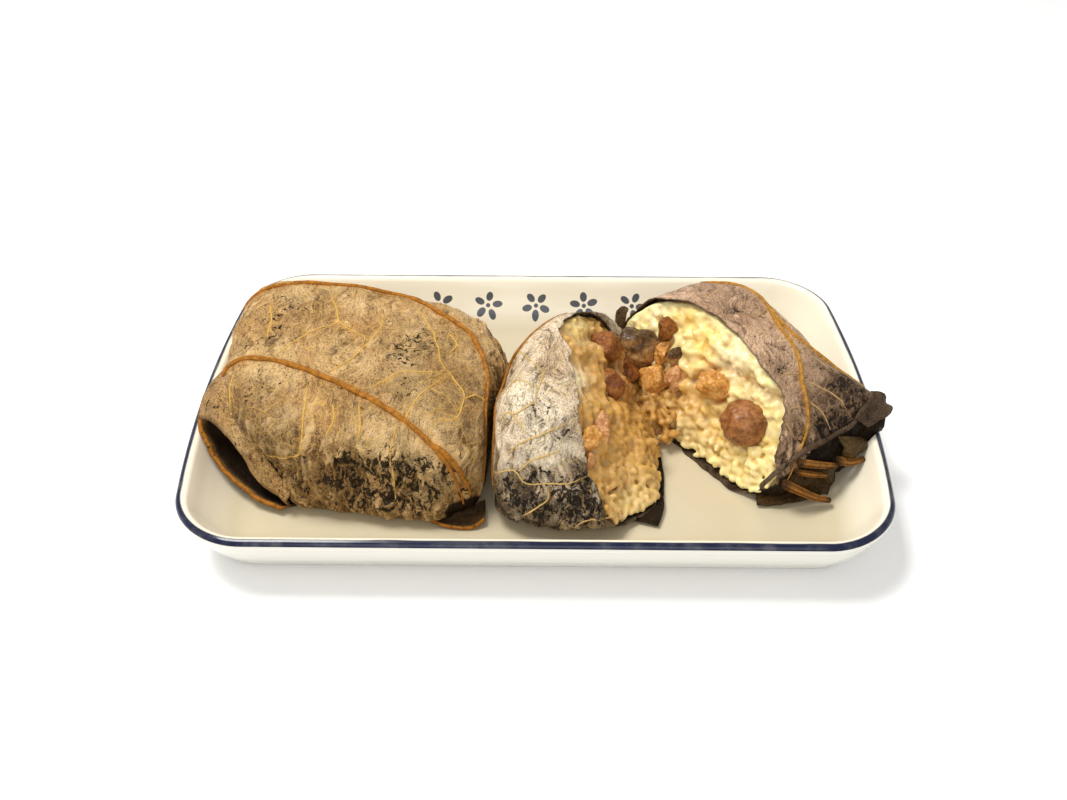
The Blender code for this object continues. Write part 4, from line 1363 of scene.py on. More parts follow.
@dataclass
class Tear:
    """A torn face: directions are given round its middle, and its edge is found on the mould."""

    mould: Mould
    point: Point
    facing: Point
    rice_past: tuple
    leaf_past: tuple
    seed: int

    def __post_init__(self) -> None:
        """Aims the axis that polar angles are counted from at the torn face's middle."""
        self.point = np.array(self.point, float)
        self.facing = unit(np.array(self.facing, float))
        self.down = unit(np.array([0, 0, -1]) + self.facing * self.facing[2])
        self.front = np.cross(self.facing, self.down)
        self.front *= -np.sign(self.front[1])
        self.rice_past, self.leaf_past = np.array(self.rice_past), np.array(self.leaf_past)
        self.aim(self.facing)
        for _ in range(3):
            rim = self.rim(2 * math.pi * np.arange(60) / 60)
            step = np.linalg.norm(rim - np.roll(rim, 1, axis=0), axis=1)
            self.middle = (rim * (step + np.roll(step, -1))[:, None]).sum(axis=0) / (2 * step.sum())
            self.aim(self.mould.snap(self.middle[None])[0])

    def aim(self, axis: Array) -> None:
        """Sets the axis."""
        self.turn = np.array(Vector((0, 0, 1)).rotation_difference(Vector(axis)).to_matrix())

    def directions(self, polar: Array, around: Array) -> Array:
        """Unit directions at a polar angle from the axis and an angle around it."""
        local = np.stack(
            [np.sin(polar) * np.cos(around), np.sin(polar) * np.sin(around), np.cos(polar)],
            axis=1,
        )
        return local @ self.turn.T

    def edge(self, around: Array, reach: Array) -> Array:
        """Polar angle where the mould's surface comes down to the torn plane moved out by reach.

        Args:
            around: Angles round the tear.
            reach: How far the plane is moved out, in mm.

        Returns:
            Polar angles.
        """
        near, far = np.full(len(around), 0.02), np.full(len(around), math.pi - 0.1)
        for _ in range(30):
            middle = (near + far) / 2
            height = (self.mould.points(self.directions(middle, around)) - self.point) @ self.facing
            near, far = np.where(height > reach, middle, near), np.where(height > reach, far, middle)
        return near

    def rim(self, around: Array) -> Array:
        """Points where the mould's surface meets the torn plane."""
        return self.mould.points(self.directions(self.edge(around, np.zeros(len(around))), around))

    def bearing(self, around: Array) -> Array:
        """Degrees round the tear from straight down towards the front."""
        rim = self.rim(around) - self.middle
        return np.degrees(np.arctan2(rim @ self.front, rim @ self.down))

    def past(self, around: Array, table: Array) -> Array:
        """How far past the plane an edge lies, from its table of bearings."""
        return np.interp(self.bearing(around), table[:, 0], table[:, 1], period=360)

    def even(self, around: Array) -> Array:
        """Angles moved so that equal steps are equal lengths along the torn edge."""
        dense = np.linspace(-math.pi, math.pi, 361)
        ring = self.mould.points(self.directions(self.rice_edge(dense), dense))
        length = np.concatenate([[0], np.cumsum(np.linalg.norm(np.diff(ring, axis=0), axis=1))])
        return np.interp((around + math.pi) / (2 * math.pi), length / length[-1], dense)

    def rice_edge(self, around: Array) -> Array:
        """Polar angle of the rice's rim."""
        return self.edge(around, self.past(around, self.rice_past))

    def leaf_edge(self, around: Array) -> Array:
        """Polar angle of the leaf's torn edge: slow waves, and small teeth where it ripped.

        Args:
            around: Angles round the tear.

        Returns:
            Polar angles.
        """
        chance = np.random.default_rng(self.seed)
        reach = self.past(around, self.leaf_past)
        for waves in (2, 3, 5, 7, 11):
            reach += 0.8 / waves**0.5 * np.sin(waves * around + chance.uniform(0, 2 * math.pi))
        for waves in (19, 31, 47, 71):
            tooth = np.abs(np.sin(waves * around / 2 + chance.uniform(0, 2 * math.pi)))
            ragged = 0.4 + 0.6 * np.sin(3 * around + chance.uniform(0, 6))
            reach += 2.6 / waves**0.5 * (tooth - 0.64) * ragged
        return self.edge(around, reach)


@dataclass
class TornLeaf:
    """The leaf of a torn half: its outer face up to the ripped edge, turned over and back inside."""

    half: Half
    tear: Tear
    skin: LeafSkin
    rows: int = 176
    columns: int = 390
    inner_rows: int = 26
    thickness: float = 0.55

    def build(self, finish: Material) -> Thing:
        """Makes the sheet as rings from the far pole to the edge, then the inner face's first stretch.

        Args:
            finish: Its material.

        Returns:
            The leaf.
        """
        mould = self.tear.mould
        around = self.tear.even(around_ring(self.columns) - math.pi)
        edge = self.tear.leaf_edge(around)
        share = (1 - np.linspace(1, 0, self.rows) ** 1.15)[:, None]
        share[0] = 0.5 / self.rows
        polar = math.pi - (math.pi - edge)[None, :] * share
        spread = np.broadcast_to(around, polar.shape)
        plain = mould.points(self.tear.directions(polar.ravel(), spread.ravel())).reshape(*polar.shape, 3)
        normals = grid_normals(plain, True)
        outward = np.sign(((plain - mould.centre) * normals).sum(axis=-1).mean())
        normals = normals * outward
        flat_normals = normals.reshape(-1, 3)
        raised, values = self.skin.dress(plain.reshape(-1, 3), flat_normals)
        outer = raised.reshape(*polar.shape, 3)
        to_edge = 1 - share[:, :, None]
        curl = np.exp(-((to_edge / 0.035) ** 2))
        lift = 0.45 * np.sin(9 * spread + 2 * np.sin(3 * spread))[..., None]
        outer = outer + normals * curl * lift
        last = np.arange(self.rows - 1, self.rows - 1 - self.inner_rows, -1)
        wall = np.minimum(1, np.arange(self.inner_rows) / 2 + 0.6)[:, None, None]
        inner = outer[last] - normals[last] * self.thickness * wall
        grid = np.concatenate([outer, inner])
        shaped = {}
        for name, value in values.items():
            value = value.reshape(*polar.shape, -1)
            shaped[name] = np.concatenate([value, value[last]])
        # The inner face takes the dark inside tone; the outer face darkens along the torn edge and keeps the
        # painted shade past the fold line.
        inner_dark = 0.8
        darkening = np.exp(-((to_edge[..., 0] / 0.008) ** 2)) * 0.6 * inner_dark
        darkening = np.maximum(darkening, shaped["inside"][: self.rows, :, 0])
        shaped["inside"] = np.concatenate([darkening, np.full((self.inner_rows, self.columns), inner_dark)])
        surface = Surface()
        surface.add_grid(grid, caps=(True, False), **shaped)
        self.skin.add_strands(surface, outward < 0)
        name = f"torn_leaf_{self.half.value}"
        made = surface.build(name, finish, "leaf", flip=outward < 0)
        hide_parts(f"leaf_half_{self.half.value}")
        return made


def loose_values(grid: Array, stain: float, **shown: Array) -> dict:
    """The values that the leaf's finish reads on a loose piece: no darkening towards the bottom or painted
    shade patches, no crease shade or highlight, and no branches.
    """
    zero = np.zeros(grid.shape[:2])
    quiet = {"branch": zero, "stain": zero + stain, "fold": zero + 0.5, "darker_low_and_shade": zero, "flow": grid * MM}
    return quiet | shown


@dataclass(frozen=True)
class LooseLeaf:
    """A free flap of leaf between a root edge and a free edge, bowed and rippled, with its own thickness."""

    name: str
    look: str
    root: tuple
    free: tuple
    bow: float = 0.0
    ripple: float = 0.8
    thickness: float = 0.5
    hem: float = 0.0
    # How much darker a flap grows towards its free edge, and the share of the dark inside tone on its upper and
    # lower face, partly painted shade under flaps and in the pocket.
    edge_darkening: float = 0.0
    inside: tuple[float, float] = (0.0, 0.0)
    seed: int = 1
    rows: int = 44
    columns: int = 96

    def grid(self) -> Array:
        """Points: a straight blend of both edges, bowed out as 4s(1 - s), with seeded ripples.

        Returns:
            The flap's middle surface as rows and columns.
        """
        near, far = smooth_path(self.root, self.columns), smooth_path(self.free, self.columns)
        share = np.linspace(0, 1, self.rows)[:, None, None]
        flat = near[None] * (1 - share) + far[None] * share
        normals = grid_normals(flat, False)
        rough = cloud(flat.reshape(-1, 3), (5, 5, 5), self.seed, 2).reshape(self.rows, self.columns, 1)
        lift = self.bow * 4 * share * (1 - share) + self.ripple * rough * np.sqrt(share)
        edge = cloud(far, 3.5, self.seed + 7, 2)[None, :, None] * share**3
        return flat + normals * lift + (far - near)[None] * edge * 0.02

    def build(self, plate: Plate, finish: Material) -> Thing:
        """Makes the flap as one closed skin: its upper face, its free edge and its lower face.

        Args:
            plate: The plate that it lies on.
            finish: Its material.

        Returns:
            The flap.
        """
        upper = self.grid()
        normals = grid_normals(upper, False)
        share = np.broadcast_to(np.linspace(0, 1, self.rows)[:, None], upper.shape[:2])
        bead = self.hem * np.exp(-(((1 - share) / 0.09) ** 2))
        half = (self.thickness / 2 + bead)[..., None]
        grid = np.concatenate([upper + normals * half, (upper - normals * half)[::-1]])
        floor = plate.height(grid[..., 0], grid[..., 1]) + LAYER_GAP
        grid[..., 2] = np.maximum(grid[..., 2], floor)
        points = grid.transpose(1, 0, 2)
        # The dark inside tone on each face, partly painted shade, and darker towards the free edge.
        top, under = self.inside
        darkening = self.edge_darkening * share ** (0.35 * self.rows)
        inside = np.concatenate([np.maximum(darkening, top), np.maximum(darkening, under)[::-1]]).T
        rib = np.clip(np.concatenate([bead, bead[::-1]]).T / max(self.hem, 1e-6), 0, 1)
        surface = Surface()
        values = loose_values(points, 0.35, inside=inside * (1 - rib), rib=rib)
        surface.add_grid(points, **values)
        LOG.info("  %s: %d points", self.name, surface.count)
        return surface.build(self.name, finish, "leaf")


@dataclass(frozen=True)
class Stem:
    """A stout leaf stem end, round, ribbed along its length, with closed ends."""

    name: str
    rough: tuple
    radius: float = 1.2
    flutes: int = 5
    rows: int = 60
    columns: int = 20

    def build(self, finish: Material) -> Thing:
        """Carries a fluted ring along the path.

        Args:
            finish: Its material.

        Returns:
            The stem.
        """
        path = smooth_path(self.rough, self.rows)
        ahead = unit(np.gradient(path, axis=0))
        side = unit(np.cross(ahead, [0, 0, 1.0]))
        up = np.cross(side, ahead)
        angle = around_ring(self.columns)
        along = np.linspace(0, 1, self.rows)[:, None]
        radius = self.radius * (1 - 0.14 * np.cos(self.flutes * angle)[None, :])
        radius = radius * (0.75 + 0.25 * np.cos(2.2 * along))
        radius *= np.sqrt(np.clip(1 - (2 * along - 1) ** 40, 0.1, 1))
        ring = np.cos(angle)[None, :, None] * side[:, None] + 0.7 * np.sin(angle)[None, :, None] * up[:, None]
        grid = path[:, None] + ring * radius[..., None]
        groove = 0.55 + 0.45 * np.broadcast_to(np.cos(self.flutes * angle + math.pi), grid.shape[:2])
        ends = np.broadcast_to(1 - smooth_step(np.minimum(along, 1 - along), 0.02, 0.22), grid.shape[:2])
        surface = Surface()
        surface.add_grid(grid, **loose_values(grid, 0.2, rib=groove, inside=0.8 * ends))
        return surface.build(self.name, finish, "leaf")


# ---------------------------------------------------------------- rice and filling


@dataclass
class StickyRice:
    """The rice of a torn half: a lumpy body with whole grains stuck all over its torn face."""

    half: Half
    tear: Tear
    bulge: float
    seed: int
    grains: int
    base: Colour
    tints: tuple
    bridge: tuple = ()
    pale: float = 0.3
    crease: tuple = ()
    rows: int = 110
    columns: int = 260
    cover_rows: int = 40
    tail_end: float = 90.0
    crease_width: float = 1.3
    crease_shade_colour: Colour = (0.36, 0.17, 0.025)
    cloudy: Colour = (0.95, 0.87, 0.66)
    bridge_tries: int = 900
    grain_gap: float = 1.65
    voxel: float = 0.45

    def inner_point(self, polar: Array, around: Array) -> Array:
        """Points under the leaf: the mould's surface drawn to its centre by the leaf and a gap.

        Args:
            polar: Angles from the tear's axis.
            around: Angles round the tear.

        Returns:
            Points in mm.
        """
        directions = self.tear.directions(polar, around)
        mould = self.tear.mould
        found = mould.points(directions)
        inward = unit(mould.centre - found)
        slant = np.clip(-(inward * mould.normals(directions)).sum(axis=1), 0.3, 1)
        found = found + inward * (RICE_INSET / slant)[:, None]
        found[:, 0] = np.minimum(found[:, 0], self.tail_end)
        return mould.pressed(found, RICE_INSET)

    def face_point(self, share: Array, around: Array) -> Array:
        """Points of the torn face: share 1 is its rim and 0 its middle, bulging as 1 - share^2.

        Args:
            share: How far out from the middle, 0 to 1.
            around: Angles round the tear.

        Returns:
            Points in mm.
        """
        rim = self.inner_point(self.tear.rice_edge(around), around)
        every = self.tear.even(np.linspace(-math.pi, math.pi, 24, endpoint=False))
        middle = self.inner_point(self.tear.rice_edge(every), every).mean(axis=0)
        flat = middle + (rim - middle) * share[:, None]
        lumps = slow_waves(flat * 3.1, self.seed) * 1.6 + 0.9 * cloud(flat, 6.5, self.seed + 30, 2)
        rise = self.bulge * (1 - share**2) + lumps * np.clip(4 * (1 - share), 0, 1)
        rise = rise - 2.2 * self.in_crease(flat)
        return self.tear.mould.pressed(flat + self.tear.facing * rise[:, None], RICE_INSET)

    def colours(self, points: Array) -> Array:
        """The rice's colour at each point: the base, drawn to each stain's colour by a bell, with painted shade
        along the crease.

        Args:
            points: Rows of points in mm.

        Returns:
            One colour for each point.
        """
        colour = np.broadcast_to(np.array(self.base), (len(points), 3)).copy()
        for centre, reach, tint, strength in self.tints:
            away = np.linalg.norm(points - np.array(centre), axis=1) / reach
            share = np.clip(strength * np.exp(-(away**2)), 0, 1)[:, None]
            colour = colour * (1 - share) + np.array(tint) * share
        # Painted shade along the crease where the upper rice hangs over the lower.
        share = 0.8 * self.in_crease(points)[:, None]
        colour = colour * (1 - share) + np.array(self.crease_shade_colour) * share
        shade = 1 + 0.14 * cloud(points, 3.0, self.seed + 5, 2)
        return np.clip(colour * shade[:, None], 0, 1)

    def in_crease(self, points: Array) -> Array:
        """Nearness to the crease where the upper rice hangs over the lower: exp(-(distance / width)^2).

        Args:
            points: Rows of points in mm.

        Returns:
            One value for each point.
        """
        if not self.crease:
            return np.zeros(len(points))
        facing = self.tear.facing
        path = smooth_path(self.crease, 60)
        path -= (path @ facing)[:, None] * facing
        away, _ = nearest_on_path(points - (points @ facing)[:, None] * facing, path, 6)
        return np.exp(-((away / self.crease_width) ** 2))

    def mashed(self, points: Array) -> Array:
        """How far the grains are pressed into one another: not at all near the foot, in patches above it."""
        return smooth_step(points[:, 2] + 6 * cloud(points, 8, self.seed + 11, 2), 17, 27)

    def body(self, surface: Surface) -> None:
        """Adds the body: the torn face, drawn in by the grains' depth, and what lies under the leaf.

        Args:
            surface: The mesh in the making.
        """
        columns = self.tear.even(around_ring(self.columns) - math.pi)
        rim = self.tear.rice_edge(columns)
        share = np.linspace(0.01, 1, self.rows)
        spread = np.broadcast_to(columns, (self.rows, self.columns))
        face = self.face_point(np.repeat(share, self.columns), spread.ravel()).reshape(
            self.rows, self.columns, 3,
        )
        deep = np.linspace(0, 1, self.cover_rows)[1:-1]
        polar = rim[None, :] + (math.pi - rim)[None, :] * deep[:, None]
        below = np.broadcast_to(columns, polar.shape)
        cover = self.inner_point(polar.ravel(), below.ravel()).reshape(*polar.shape, 3)
        grid = np.concatenate([face, cover])
        normals = grid_normals(grid, True)
        outward = np.sign(((grid - self.tear.mould.centre) * normals).sum(axis=-1).mean())
        flat = grid.reshape(-1, 3)
        pebbles = 0.4 - np.abs(cloud(flat, 3.4, self.seed + 3, 2))
        open_face = np.concatenate([np.ones(self.rows), np.zeros(len(deep))])[:, None]
        shape = grid.shape[:2]
        lift = (pebbles.reshape(shape) - 1.1 + 0.9 * self.mashed(flat).reshape(shape)) * open_face
        grid = grid + normals * outward * lift[..., None]
        surface.add_grid(grid[:, ::-1] if outward < 0 else grid)
        if self.bridge:
            start, end, _ = (np.array(value, float) for value in self.bridge)
            axis = (end - start) / 2
            side = unit(np.cross(axis, [0, 0, 1.0]))
            ball = ball_grid(14, 20)
            core = (start + end) / 2 + 1.15 * ball[..., 2:3] * axis + 3.2 * ball[..., :1] * side
            surface.add_grid(core + 3.6 * ball[..., 1:2] * unit(np.cross(side, axis)))

    def scatter(self) -> tuple[Array, Array]:
        """Grain places on the torn face, kept apart, and the way the face looks at each.

        Returns:
            The places, and a direction for each.
        """
        chance = np.random.default_rng(self.seed + 40)
        share = np.sqrt(chance.uniform(0, 0.98, 9 * self.grains))
        around = self.tear.even(chance.uniform(-math.pi, math.pi, len(share)))
        places = self.face_point(share, around)
        middle = places.mean(axis=0)
        outward = unit(places - middle) * smooth_step(share, 0.75, 1.0)[:, None]
        facing = unit(self.tear.facing + 0.9 * outward)
        if self.bridge:
            start, end, spread = (np.array(value, float) for value in self.bridge)
            along = chance.uniform(0, 1, (self.bridge_tries, 1))
            extra = start + (end - start) * along + chance.normal(size=(self.bridge_tries, 3)) * spread
            places = np.concatenate([extra, places])
            facing = np.concatenate([np.tile(self.tear.facing, (self.bridge_tries, 1)), facing])
        kept = []
        clear = self.clear_of_filling(places)
        for number in np.flatnonzero(clear):
            if len(kept) == self.grains:
                break
            gaps = np.linalg.norm(places[kept] - places[number], axis=1)
            if not kept or np.min(gaps) > self.grain_gap:
                kept.append(number)
        return places[kept], facing[kept]

    def clear_of_filling(self, places: Array) -> Array:
        """Which places no piece of filling covers, seen from in front of the torn face.

        Args:
            places: Rows of points in mm.

        Returns:
            True for each place that stays.
        """
        keep = np.ones(len(places), bool)
        for morsel in FILLING:
            gap = places - np.array(morsel.centre)
            gap -= np.clip((gap @ self.tear.facing), 0, 6)[:, None] * self.tear.facing
            keep &= ((gap / (np.array(morsel.half_sizes) + 0.9)) ** 2).sum(axis=1) > 1
        return keep

    def melt(self, surface: Surface) -> Mesh:
        """Joins the body and the grains into one skin, as steamed grains stick, and softens its creases.

        Args:
            surface: The mesh in the making.

        Returns:
            The one skin.
        """
        mesh = bpy.data.meshes.new("rice_raw")
        mesh.from_pydata((np.concatenate(surface.points) * MM).tolist(), [], surface.faces)
        rough = put_in_scene("rice_raw", mesh)
        remesh = rough.modifiers.new("melt", "REMESH")
        remesh.mode = "VOXEL"
        remesh.voxel_size = self.voxel * MM
        smooth = rough.modifiers.new("soften", "SMOOTH")
        smooth.factor = 0.5
        smooth.iterations = 2
        bpy.context.view_layer.update()
        melted = bpy.data.meshes.new_from_object(rough.evaluated_get(bpy.context.evaluated_depsgraph_get()))
        bpy.data.objects.remove(rough)
        return melted

    def build(self, finish: Material) -> Thing:
        """Makes the rice, coloured by place and by grain, with painted shade by how deep each point lies
        between grains.

        Args:
            finish: Its material.

        Returns:
            The rice.
        """
        surface = Surface()
        self.body(surface)
        places, facing = self.scatter()
        chance = np.random.default_rng(self.seed + 60)
        lean = unit(chance.normal(size=places.shape))
        lean = unit(lean - facing * ((lean * facing).sum(axis=1) * 0.3)[:, None])
        side = unit(np.cross(lean, facing))
        up = np.cross(side, lean)
        shape = ball_grid(7, 10)
        half_length = chance.uniform(1.3, 2.6, len(places))
        half_width = chance.uniform(0.95, 1.4, len(places))
        sink = chance.uniform(-0.7, 0.55, len(places))
        sink = sink - 1.9 * self.mashed(places) * chance.uniform(0.4, 1.0, len(places))
        for k, place in enumerate(places):
            local = shape[..., 2:3] * half_length[k] * lean[k] + shape[..., 0:1] * half_width[k] * side[k]
            local = local + shape[..., 1:2] * half_width[k] * 0.92 * up[k]
            surface.add_grid(place + facing[k] * sink[k] + local)
        mesh = self.melt(surface)
        points = np.empty(len(mesh.vertices) * 3, np.float32)
        mesh.vertices.foreach_get("co", points)
        points = points.reshape(-1, 3) / MM
        colour = self.colours(points)
        tone = chance.uniform(0.92, 1.08, len(places))
        paleness = chance.uniform(0, self.pale, len(places)) ** 1.5
        for part in np.array_split(np.arange(len(points)), 1 + len(points) // 4000):
            near = np.linalg.norm(points[part, None] - places[None], axis=2).argmin(axis=1)
            colour[part] *= tone[near][:, None]
            colour[part] += (np.array(self.cloudy) - colour[part]) * paleness[near][:, None]
        # Painted shade between the grains, weaker where they are mashed.
        shade_between_grains = (self.depth_between(mesh, points) * (1 - 0.4 * self.mashed(points)))[:, None]
        colour *= 1 - shade_between_grains * np.array([0.24, 0.36, 0.62])
        tint = np.concatenate([np.clip(colour, 0, 1), np.ones((len(points), 1))], axis=1)
        mesh.attributes.new("tint", "FLOAT_COLOR", "POINT").data.foreach_set("color", tint.ravel())
        mesh.shade_smooth()
        mesh.materials.append(finish)
        name = f"sticky_rice_{self.half.value}"
        made = put_in_scene(name, mesh)
        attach(made, "root")
        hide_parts(f"rice_half_{self.half.value}")
        LOG.info("  %s: %d grains, %d points", name, len(places), len(points))
        return made

    def depth_between(self, mesh: Mesh, points: Array) -> Array:
        """How deep each point lies between grains, 0 to 1: its neighbours' mean along its normal.

        Args:
            mesh: The melted mesh.
            points: The mesh's points in mm.

        Returns:
            One value for each point.
        """
        edges = np.empty(len(mesh.edges) * 2, np.int32)
        mesh.edges.foreach_get("vertices", edges)
        edges = edges.reshape(-1, 2)
        normals = np.empty(len(points) * 3, np.float32)
        mesh.vertex_normals.foreach_get("vector", normals)
        normals = normals.reshape(-1, 3)
        number = np.maximum(np.bincount(edges.ravel(), minlength=len(points)), 1)

        def around(values: Array) -> Array:
            """The mean of each point's neighbours."""
            first = np.bincount(edges[:, 0], weights=values[edges[:, 1]], minlength=len(points))
            second = np.bincount(edges[:, 1], weights=values[edges[:, 0]], minlength=len(points))
            return (first + second) / number

        mean = np.stack([around(points[:, k]) for k in range(3)], axis=1)
        hollow = ((mean - points) * normals).sum(axis=1)
        for _ in range(3):
            hollow = around(hollow)
        return smooth_step(hollow, -0.005, 0.035)


class MorselKind(Enum):
    """What a piece of filling is."""

    PORK = "pork"
    ORANGE_PORK = "orange_pork"
    PINK_PORK = "pink_pork"
    MUSHROOM = "mushroom"
    MEATBALL = "meatball"


@dataclass(frozen=True)
class MorselForm:
    """How a kind of filling is shaped: cut faces, share of a ball, size, and height of lumps and pits."""

    cuts: int = 9
    roundness: float = 0.25
    swell: float = 1.12
    lumps: float = 0.09
    pits: float = 0.5
    slot: str = "pork"


CUT_MEAT = MorselForm()
SPECIAL_FORMS = {
    MorselKind.MEATBALL: MorselForm(cuts=0, roundness=0.75, swell=1, lumps=0.045, pits=0.35),
    MorselKind.MUSHROOM: MorselForm(cuts=3, slot="mushroom"),
}


@dataclass(frozen=True)
class Morsel:
    """One piece of filling: a boxy lump pressed to its half sizes and made uneven."""

    name: str
    kind: MorselKind
    centre: Point
    half_sizes: Point
    turn: float
    number: int
    in_frame: bool = True
    rows: int = 60
    columns: int = 90

    def build(self, finishes: dict) -> Thing:
        """Makes the lump: a ball drawn towards a box, swollen and pitted by clouds.

        Args:
            finishes: Materials by kind.

        Returns:
            The lump.
        """
        ball = ball_grid(self.rows, self.columns)
        flat = ball.reshape(-1, 3)
        boxy = flat / (np.abs(flat) ** 3).sum(axis=1)[:, None] ** (1 / 3)
        form = SPECIAL_FORMS.get(self.kind, CUT_MEAT)
        lumps = 1 + form.lumps * slow_waves(flat * 22, self.number)[:, None] / 0.7
        sizes = np.array(self.half_sizes)
        points = (boxy * (1 - form.roundness) + flat * form.roundness * 1.06) * form.swell * lumps
        chance = np.random.default_rng(self.number + 200)
        for cut in unit(chance.normal(size=(form.cuts, 3))):
            past = np.maximum(points @ cut - chance.uniform(0.6, 0.9), 0)
            points = points - (0.8 * past**2 / (past + 0.12))[:, None] * cut
        points = points * sizes
        pores = 0.4 - np.abs(cloud(points, 1.9, self.number + 71, 2))
        rough = form.pits * cloud(points, 3.2, self.number + 70, 3) + 0.2 * pores
        points += unit(flat * sizes) * (rough - 0.1)[:, None]
        angle = math.radians(self.turn)
        spin = np.array(
            [[math.cos(angle), -math.sin(angle), 0], [math.sin(angle), math.cos(angle), 0], [0, 0, 1]],
        )
        points = points @ spin.T + np.array(self.centre)
        skin = np.zeros(len(points))
        if self.kind is MorselKind.MUSHROOM:
            skin = smooth_step(flat[:, 2] + 0.3 * cloud(points, 3, 4, 2), 0.25, 0.7) * 0.85
        surface = Surface()
        surface.add_grid(points.reshape(*ball.shape), skin=skin)
        made = surface.build(f"{self.name}_morsel", finishes[self.kind], form.slot)
        if self.in_frame:
            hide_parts(self.name)
        return made


FILLING = (
    Morsel("pork_cube", MorselKind.PORK, (22.4, 4.0, 35.4), (4.6, 5.8, 5.8), 20, 0),
    Morsel("pork_orange", MorselKind.ORANGE_PORK, (15.8, -35.5, 33), (3.2, 4.0, 4.0), -15, 1),
    Morsel("pork_shred", MorselKind.PINK_PORK, (20.3, -24, 29.5), (3.0, 8.0, 4.4), 8, 2),
    Morsel("pork_valley", MorselKind.PORK, (30, 7.5, 23.5), (4.6, 4.6, 4.6), 40, 3),
    Morsel("mushroom_cap", MorselKind.MUSHROOM, (35, 16.2, 27), (8.2, 4.8, 7.2), 12, 4),
    Morsel("pork_top", MorselKind.PORK, (43.2, 13.5, 37.2), (3.2, 3.6, 4.0), 25, 5),
    Morsel("pork_pale", MorselKind.ORANGE_PORK, (42.2, 10, 30.6), (2.7, 2.8, 4.4), -20, 6),
    Morsel("pork_low", MorselKind.ORANGE_PORK, (40.4, 6.4, 22.4), (5.6, 4.0, 4.3), 0, 7),
    Morsel("pork_glazed", MorselKind.ORANGE_PORK, (57.8, -8, 30), (5.6, 4.8, 4.6), -35, 8),
    Morsel("meatball", MorselKind.MEATBALL, (66, -19.8, 25.8), (7.2, 7.2, 7.0), 0, 9),
    Morsel("pork_end", MorselKind.PINK_PORK, (16.2, -40.8, 28.4), (2.3, 2.2, 2.6), 10, 10, False),
    Morsel("mushroom_slice", MorselKind.MUSHROOM, (46.4, 5.8, 31.2), (3.4, 1.7, 2.9), 20, 11, False),
    Morsel("pork_pink", MorselKind.PINK_PORK, (46.5, 2.2, 26.4), (4.2, 3.2, 3.9), 30, 12, False),
    Morsel("pork_brown", MorselKind.PORK, (23, -8.5, 30.5), (4.2, 5.4, 4.6), 15, 13, False),
)


# ---------------------------------------------------------------- the studio


@dataclass(frozen=True)
class Studio:
    """The photograph's camera, a white floor and soft lights."""

    camera_at: Point = (1.2, -279.4, 254.6)
    pitch: float = 40.29
    yaw: float = -0.41
    roll: float = 0.15
    focal: float = 1100.0
    frame_width: float = 1067.0
    sensor: float = 36.0
    floor_half: float = 2500.0
    sky: float = 0.62
    aim_at: Point = (0, 0, 20)

    def add_camera(self) -> None:
        """Stands the camera where it looks down along its pitch and yaw, turned by its roll."""
        pitch, yaw, roll = (math.radians(a) for a in (self.pitch, self.yaw, self.roll))
        ahead = Vector((math.sin(yaw) * math.cos(pitch), math.cos(yaw) * math.cos(pitch), -math.sin(pitch)))
        across = Vector((math.cos(yaw), -math.sin(yaw), 0))
        below = ahead.cross(across)
        right = across * math.cos(roll) - below * math.sin(roll)
        down = across * math.sin(roll) + below * math.cos(roll)
        camera = put_in_scene("camera", bpy.data.cameras.new("camera"))
        bpy.context.scene.camera = camera
        camera.data.sensor_width = self.sensor
        camera.data.lens = self.sensor * self.focal / self.frame_width
        camera.data.clip_start, camera.data.clip_end = 0.01, 20
        turned = Matrix((right, -down, -ahead)).transposed().to_4x4()
        camera.matrix_world = Matrix.Translation(Vector(self.camera_at) * MM) @ turned

    def add_floor(self) -> None:
        """Lays a wide white floor under the plate."""
        points = np.array([(-1, -1, 0), (1, -1, 0), (1, 1, 0), (-1, 1, 0)]) * self.floor_half
        mesh = bpy.data.meshes.new("floor")
        mesh.from_pydata((points * MM).tolist(), [], [(0, 1, 2, 3)])
        floor = put_in_scene("floor", mesh)
        white = Recipe("white_floor")
        white.set(Base_Color=(0.97, 0.97, 0.97), Roughness=0.8)
        mesh.materials.append(white.material)

    def add_light(self, name: str, place: Point, size: float, power: float, colour: Colour) -> None:
        """Hangs one square soft light, in mm, aimed at the food.

        Args:
            name: The object's name.
            place: Where it hangs, in mm.
            size: Its side in mm.
            power: Its power in watts.
            colour: Its colour.
        """
        lamp = bpy.data.lights.new(name, "AREA")
        lamp.shape = "SQUARE"
        lamp.size = size * MM
        lamp.energy = power
        lamp.color = colour
        holder = put_in_scene(name, lamp)
        aim = (Vector(self.aim_at) - Vector(place)).to_track_quat("-Z", "Y")
        holder.matrix_world = Matrix.Translation(Vector(place) * MM) @ aim.to_matrix().to_4x4()

    def build(self) -> None:
        """Adds the camera, floor, sky and lights."""
        bpy.context.scene.view_settings.view_transform = "Standard"
        self.add_camera()
        self.add_floor()
        world = bpy.data.worlds.new("studio_sky")
        bpy.context.scene.world = world
        world.use_nodes = True
        background = world.node_tree.nodes["Background"]
        background.inputs["Color"].default_value = (1, 1, 1, 1)
        background.inputs["Strength"].default_value = self.sky
        self.add_light("key", (-330, 60, 860), 320, 7.3, (1, 0.985, 0.96))
        self.add_light("fill", (20, -760, 560), 600, 1.6, (1, 1, 1))


# ---------------------------------------------------------------- assembly


